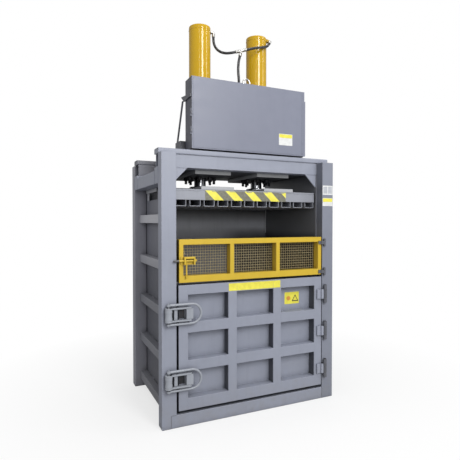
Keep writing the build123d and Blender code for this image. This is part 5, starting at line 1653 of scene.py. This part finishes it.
def motor_shapes():
    """A finned motor between its end shields, with a fan cover. Fins: the radius falls by a fixed depth
    wherever the cosine of the fin count times the angle is below nought."""
    low, high = corners_of("pump_motor")
    x, y = (low[0] + high[0]) / 2, (low[1] + high[1]) / 2
    flange, body, cover = 53 * MM, 50 * MM, 52 * MM
    fins_low, fins_high = low[2] + 30 * MM, high[2] - 52 * MM
    fin_count, depth, steepness = 28, 6 * MM, 6

    def finned(radius, angle):
        """The radius at an angle, less the depth between two fins."""
        return radius - depth * (0.5 - 0.5 * np.tanh(steepness * np.cos(fin_count * angle)))

    shield = [(flange - 1 * MM, low[2]), (flange, low[2] + 1 * MM), (flange, low[2] + 11 * MM),
              (body, low[2] + 13 * MM), (body, fins_low), (body - 8 * MM, fins_low + 1 * MM)]
    ribs = [(body - 9 * MM, fins_low), (body, fins_low + 0.5 * MM), (body, fins_high - 0.5 * MM),
            (body - 9 * MM, fins_high)]
    hood = [(body - 8 * MM, fins_high - 1 * MM), (body, fins_high), (body, fins_high + 16 * MM),
            (cover, fins_high + 17 * MM), (cover, high[2] - 8 * MM), (cover - 3 * MM, high[2] - 2 * MM),
            (cover - 9 * MM, high[2])]
    return [turned(shield, (x, y, 0), steps=64),
            turned(ribs, (x, y, 0), steps=12 * fin_count, radius_of_angle=finned),
            turned(hood, (x, y, 0), steps=64)]


def tank_fitting_shapes():
    """A filler cap with its neck, and a level glass between two screwed bosses."""
    top = corners_of("tank_lid")[1][2]
    x, front = tank_low[0] + 70 * MM, tank_low[1]
    glass_bottom, glass_top = tank_low[2] + 50 * MM, tank_low[2] + 180 * MM
    cap = [(17 * MM, top), (17 * MM, top + 8 * MM), (22 * MM, top + 9 * MM), (23 * MM, top + 11 * MM),
           (23 * MM, top + 26 * MM), (21 * MM, top + 29 * MM), (15 * MM, top + 30 * MM)]
    shapes = [turned(cap, (x, tank_middle_y, 0), steps=40)]
    for z in (glass_bottom, glass_top):
        shapes.append(hex_nut((x, front, z), (0, -1, 0), 19 * MM, 9 * MM))
    shapes.append(bar((x - 9 * MM, front - 8 * MM, glass_bottom), (x + 9 * MM, front - 1 * MM, glass_top),
                      "z", 3 * MM, 1 * MM))
    return shapes


def gear_face_shapes():
    """On each switchgear box a raised middle."""
    side, end, rise = 7 * MM, 24 * MM, 6 * MM
    return [bar((low[0] + side, low[1] - rise, low[2] + end), (high[0] - side, low[1], high[2] - end), "y",
                *flat_plate) for low, high in gear_boxes]


def gear_screw_shapes():
    """Three terminal screws above and three below on each box."""
    screw = [(3 * MM, 0), (3 * MM, 1.2 * MM), (2.2 * MM, 1.8 * MM)]
    inset = 9 * MM
    return [turned(screw, (low[0] + (high[0] - low[0]) * share, low[1], z), (0, -1, 0), 12)
            for low, high in gear_boxes
            for share in (0.2, 0.5, 0.8)
            for z in (low[2] + inset, high[2] - inset)]


def trunking_shapes():
    """Slotted wiring channels above, between and below the rows: a long cover over a row of fingers."""
    plate_low, plate_high = gear_plate
    x0, x1, back = plate_low[0] + 10 * MM, plate_high[0] - 10 * MM, plate_low[1]
    cover, front = back - 44 * MM, back - 40 * MM
    height, finger, pitch = 30 * MM, 5 * MM, 12 * MM
    lower, upper = sorted({round(float(low[2]), 4) for low, high in gear_boxes})
    box = gear_boxes[0][1][2] - gear_boxes[0][0][2]
    shapes = []
    for z in (lower - 48 * MM, (lower + box + upper) / 2 - height / 2, upper + box + 18 * MM):
        shapes.append(bar((x0, cover, z), (x1, front, z + height), "x", *cut_plate))
        shapes.append(bar((x0, front, z + 8 * MM), (x1, back, z + 22 * MM), "x", 1 * MM, 1 * MM))
        for x in np.arange(x0 + 4 * MM, x1 - 8 * MM, pitch):
            shapes.append(bar((x, front, z + 1 * MM), (x + finger, back, z + height - 1 * MM), "y",
                              *thin_sheet, 2))
    return shapes


piece("finned_motor", motor_shapes(), finishes["motor"], nodes=["pump_motor"])
piece("tank_fittings", tank_fitting_shapes(), finishes["black"])
piece("gear_faces", gear_face_shapes(), finishes["black"])
piece("gear_screws", gear_screw_shapes(), finishes["bright"])
piece("wiring_channels", trunking_shapes(), finishes["grey_film"])


# Labels: bare colour fields

film = 0.5 * MM
film_rim = 0.15 * MM


def field(x0, x1, z0, z1, face_y, layer=0):
    """A thin film on a face that looks forwards, its sides given in millimetres. Its corners are round, and
    later layers lie on earlier ones."""
    outline = rounded(rectangle(x0 * MM, x1 * MM, z0 * MM, z1 * MM), 3 * MM, 4)
    return prism(outline, face_y - film * (1 + layer), face_y + film * 0.5, "y", film_rim, 1)


def triangle(centre_x, centre_z, half, face_y, layer):
    """A triangular film with its point up, given in millimetres."""
    outline = np.array(((-half, -half * 0.8), (half, -half * 0.8), (0.0, half * 0.93)))
    outline = (outline + (centre_x, centre_z)) * MM
    return prism(rounded(outline, 3 * MM, 4), face_y - film * (1 + layer), face_y, "y", film_rim, 1)
piece("cabinet_label", [field(260, 388, 2130, 2223, cabinet_front_y)], finishes["white_film"],
      body="cabinet_door")
piece("cabinet_label_band", [field(263, 385, 2191, 2220, cabinet_front_y, 1)], finishes["yellow_film"],
      body="cabinet_door")
piece("door_sign", [field(-225, 230, 971, 1028, front_y)], finishes["yellow_film"], body="door")
piece("door_warning", [field(318, 459, 812, 911, recess_y)], finishes["yellow_film"], body="door")
piece("door_warning_sign", [triangle(421, 858, 33, recess_y, 1)], finishes["ink"], body="door")
piece("door_warning_middle", [triangle(421, 857, 22, recess_y, 2)], finishes["yellow_film"], body="door")
piece("door_warning_dot", [turned([(19 * MM, 0), (19 * MM, film * 2), (18.6 * MM, film * 2.2)],
                                  (356 * MM, recess_y, 860 * MM), (0, -1, 0), 32)],
      finishes["orange_ink"], body="door")
piece("post_labels", [field(643, 745, 1727, 1805, front_y), field(643, 745, 1633, 1700, front_y)],
      finishes["white_film"])
piece("post_label_marks", [field(650, 690, 1738, 1795, front_y, 1),
                           field(698, 738, 1738, 1795, front_y, 1)], finishes["grey_film"])
piece("post_label_band", [field(646, 742, 1668, 1697, front_y, 1)], finishes["yellow_film"])


# Weld beads

def seams(name, lines, size, finish, body="frame", mirror=False):
    """Weld beads along straight lines."""
    shapes = [bead(line, size) for line in lines]
    piece(name, both_sides(shapes) if mirror else shapes, finish, body)


def stitched(ends, length=60 * MM, pitch=200 * MM):
    """Short lines at even distances between two ends, the first and last beside them."""
    start, end = np.array(ends, float)
    whole = np.linalg.norm(end - start)
    count = max(2, int(round(whole / pitch)) + 1)
    places = np.linspace(0, whole - length, count)
    along = (end - start) / whole
    return [(start + along * place, start + along * (place + length)) for place in places]


def around(u0, u1, v0, v1, w, axis="y"):
    """The four sides of a rectangle square to an axis."""
    ring = carried(np.array([rectangle(u0, u1, v0, v1)]), [w], axis)[0]
    return list(zip(ring, np.roll(ring, -1, 0)))


inner_x, outer_x = -post_inner_x, -half_width
web_end_x = header_end_recess - half_width
rib_end_x = corners_of("side_ribs")[0][0]
rear_face_y = wall_high[1]
gusset_start, gusset_end = gusset_low[0], gusset_low[0] + gusset_run
gap = 2 * MM

rib_levels = sorted({round(float(low[2] + high[2]) / 2, 4) for low, high in solids("side_ribs")})
rib_half = 35 * MM
side_lines, rib_end_lines, rear_lines = [], [], []
for level in rib_levels:
    for z in (level - rib_half, level + rib_half):
        side_lines += stitched(line_back(inner_x, front_inner_y + 12 * MM, rear_web_y - 11 * MM, z))
        for y in (front_inner_y, rear_web_y):
            rib_end_lines.append(line_across(inner_x, rib_end_x + gap, y, z))
        rear_lines += stitched(line_across(14 * MM - chamber_x, chamber_x - 14 * MM, rear_face_y, z),
                               pitch=240 * MM)
    for y in (front_inner_y, rear_web_y):
        rib_end_lines.append(line_up(rib_end_x, y, level - rib_half + 3 * MM, level + rib_half - 3 * MM))
seams("side_rib_welds", side_lines, 3.4 * MM, finishes["wall"], mirror=True)
seams("rib_end_welds", rib_end_lines, 3.4 * MM, finishes["rib"], mirror=True)
seams("rear_rib_welds", rear_lines, 3.4 * MM, finishes["wall"])

header_lines = [
    line_up(inner_x, front_inner_y, header_bottom + gap, post_top - gap),
    line_across(gusset_start + gap, gusset_end - gap, front_inner_y, header_bottom - gap / 2),
    line_across(outer_x + gap, inner_x - gap, cap_low[1] - gap / 2, post_top),
    line_up(web_end_x, front_inner_y + gap, header_bottom + gap, post_top - gap),
    line_back(inner_x, window_frame_low[1], window_frame_high[1], window_frame_high[2])]
for y in (front_inner_y, rear_web_y):
    header_lines.append(line_up(outer_x, y, beam_low[2] + 2 * gap, header_bottom - 1.5 * gap))
for y in (header_back_y, rear_header_y):
    header_lines.append(line_up(outer_x, y, beam_low[2] + gap, beam_top - gap / 2))
    header_lines.append(line_across(outer_x + gap, inner_x - gap, y, beam_top))
seams("header_welds", header_lines, 3.2 * MM, finishes["body"], mirror=True)

cap_lines = []
for y, z in ((front_inner_y, post_top), (header_back_y, deck_top), (rear_header_y, deck_top)):
    cap_lines += stitched(line_across(4 * MM - chamber_x, chamber_x - 4 * MM, y, z), 80 * MM, 210 * MM)
seams("cap_welds", cap_lines, 3.2 * MM, finishes["body"])

sill_foot = 3 * MM
sill_face_y = front_y + 1.6 * MM
seams("sill_welds", [line_up(sill_low[0], sill_face_y, sill_foot, sill_top - sill_foot),
                     line_across(sill_low[0] + gap, inner_x - gap, sill_face_y, sill_top),
                     line_up(post_inner_x, sill_face_y, sill_foot, sill_top),
                     line_back(inner_x, front_y + gap, front_inner_y - gap, sill_top),
                     line_back(post_inner_x, front_y + gap, front_inner_y - gap, sill_top)],
      2.8 * MM, finishes["body"])

keeper_lines = []
for low, high in solids("latch_keepers"):
    keeper_lines += around(low[0], high[0], low[2], high[2], front_y)
block_lines = []
for low, high in solids("latch_blocks"):
    z = (low[2] + high[2]) / 2
    block_lines += around(low[0], high[0], z - latch_block_half, z + latch_block_half, front_y)
hinge_x, hinge_radius = door_hinge[0], door_hinge[2]
knuckle_half, knuckle_gap = door_hinge_height / 2, 40 * MM
knuckle_lines = []
for low, high in solids("door_hinge_leaves"):
    z = (low[2] + high[2]) / 2
    for z0, z1 in ((z - knuckle_half, z - knuckle_gap), (z + knuckle_gap, z + knuckle_half)):
        for x in (hinge_x + hinge_radius, hinge_x - hinge_radius / 2):
            knuckle_lines.append(line_up(x, front_y, z0 + gap, z1 - gap))
seams("keeper_welds", keeper_lines + knuckle_lines, 3.0 * MM, finishes["latch"])
seams("block_welds", block_lines, 3.0 * MM, finishes["latch"], body="door")
seams("stay_welds", around(prop_left, prop_right, prop_front, prop_back, deck_top, "z"), 3.4 * MM,
      finishes["wall"])

recess_lines, rail_lines = [], []
for x0, x1 in zip(door_columns[1::2], door_columns[2::2]):
    for z0, z1 in zip(door_rows[1::2], door_rows[2::2]):
        recess_lines += around(x0, x1, z0, z1, recess_y)
    for z0, z1 in zip(door_rows[0::2], door_rows[1::2]):
        rail_lines += [line_up(x, front_y + gap, z0 + gap, z1 - gap) for x in (x0, x1)]
seams("recess_welds", recess_lines, 2.6 * MM, finishes["body"], body="door")
seams("door_rail_welds", rail_lines, 2.6 * MM, finishes["body"], body="door")

pad_inner, pad_outer, pad_weld_y = 135 * MM, 411 * MM, platen_low[1] + 1 * MM
tray_edge = line_across(platen_low[0] + 6 * MM, platen_high[0] - 6 * MM, platen_low[1], tray_top)
platen_lines = stitched(tray_edge, 50 * MM, 150 * MM)
platen_lines += [line_across(pad_inner, pad_outer, pad_weld_y, platen_top),
                 line_across(-pad_outer, -pad_inner, pad_weld_y, platen_top)]
seams("platen_welds", platen_lines, 2.6 * MM, finishes["platen"], body="platen")
wall_edge = line_up(post_inner_x + gap, front_inner_y, sill_top + 3 * MM, header_bottom - 3 * MM)
seams("wall_front_welds", [wall_edge], 5.5 * MM, finishes["wall"], mirror=True)
seams("sill_end_welds", [line_up(sill_low[0], front_y, sill_foot, sill_top),
                         line_across(sill_low[0], inner_x - 1 * MM, front_y, sill_top),
                         line_up(post_inner_x, front_y, sill_foot, sill_top)], 2.6 * MM, finishes["rib"])
seams("chamber_corner_welds", [line_up(chamber_x - 1 * MM, wall_low[1] - 1 * MM, 1385 * MM, 1655 * MM)],
      3.6 * MM, finishes["grey_film"], mirror=True)
piece("barrel_cap_welds", [ring_bead(x, 0, corners_of("barrel_caps")[0][2], barrel_radius - 1 * MM, 3 * MM)
                           for x in (-cylinder_x, cylinder_x)], finishes["barrel"])


# Nodes of the model whose shape is right as it is

plain_nodes = {
    "floor_bearers": "wall", "floor_plate": "chamber", "floor_strap_bars": "wall",
    "side_walls": "side_wall", "rear_wall": "rear_wall", "deck_plate": "dark", "cylinder_seats": "seat",
    "rod_glands": "dull", "pistons": "dull", "cabinet_shell": "cabinet", "cabinet_hinges": "cabinet_hinge",
    "cable_duct": "cabinet", "oil_tank": "cabinet", "tank_lid": "cabinet", "oil_pump": "iron",
    "valve_manifold": "iron", "control_gear": "switch", "door_plate": "body",
}
for node_name, finish_name in plain_nodes.items():
    dress(node_name, finishes[finish_name])
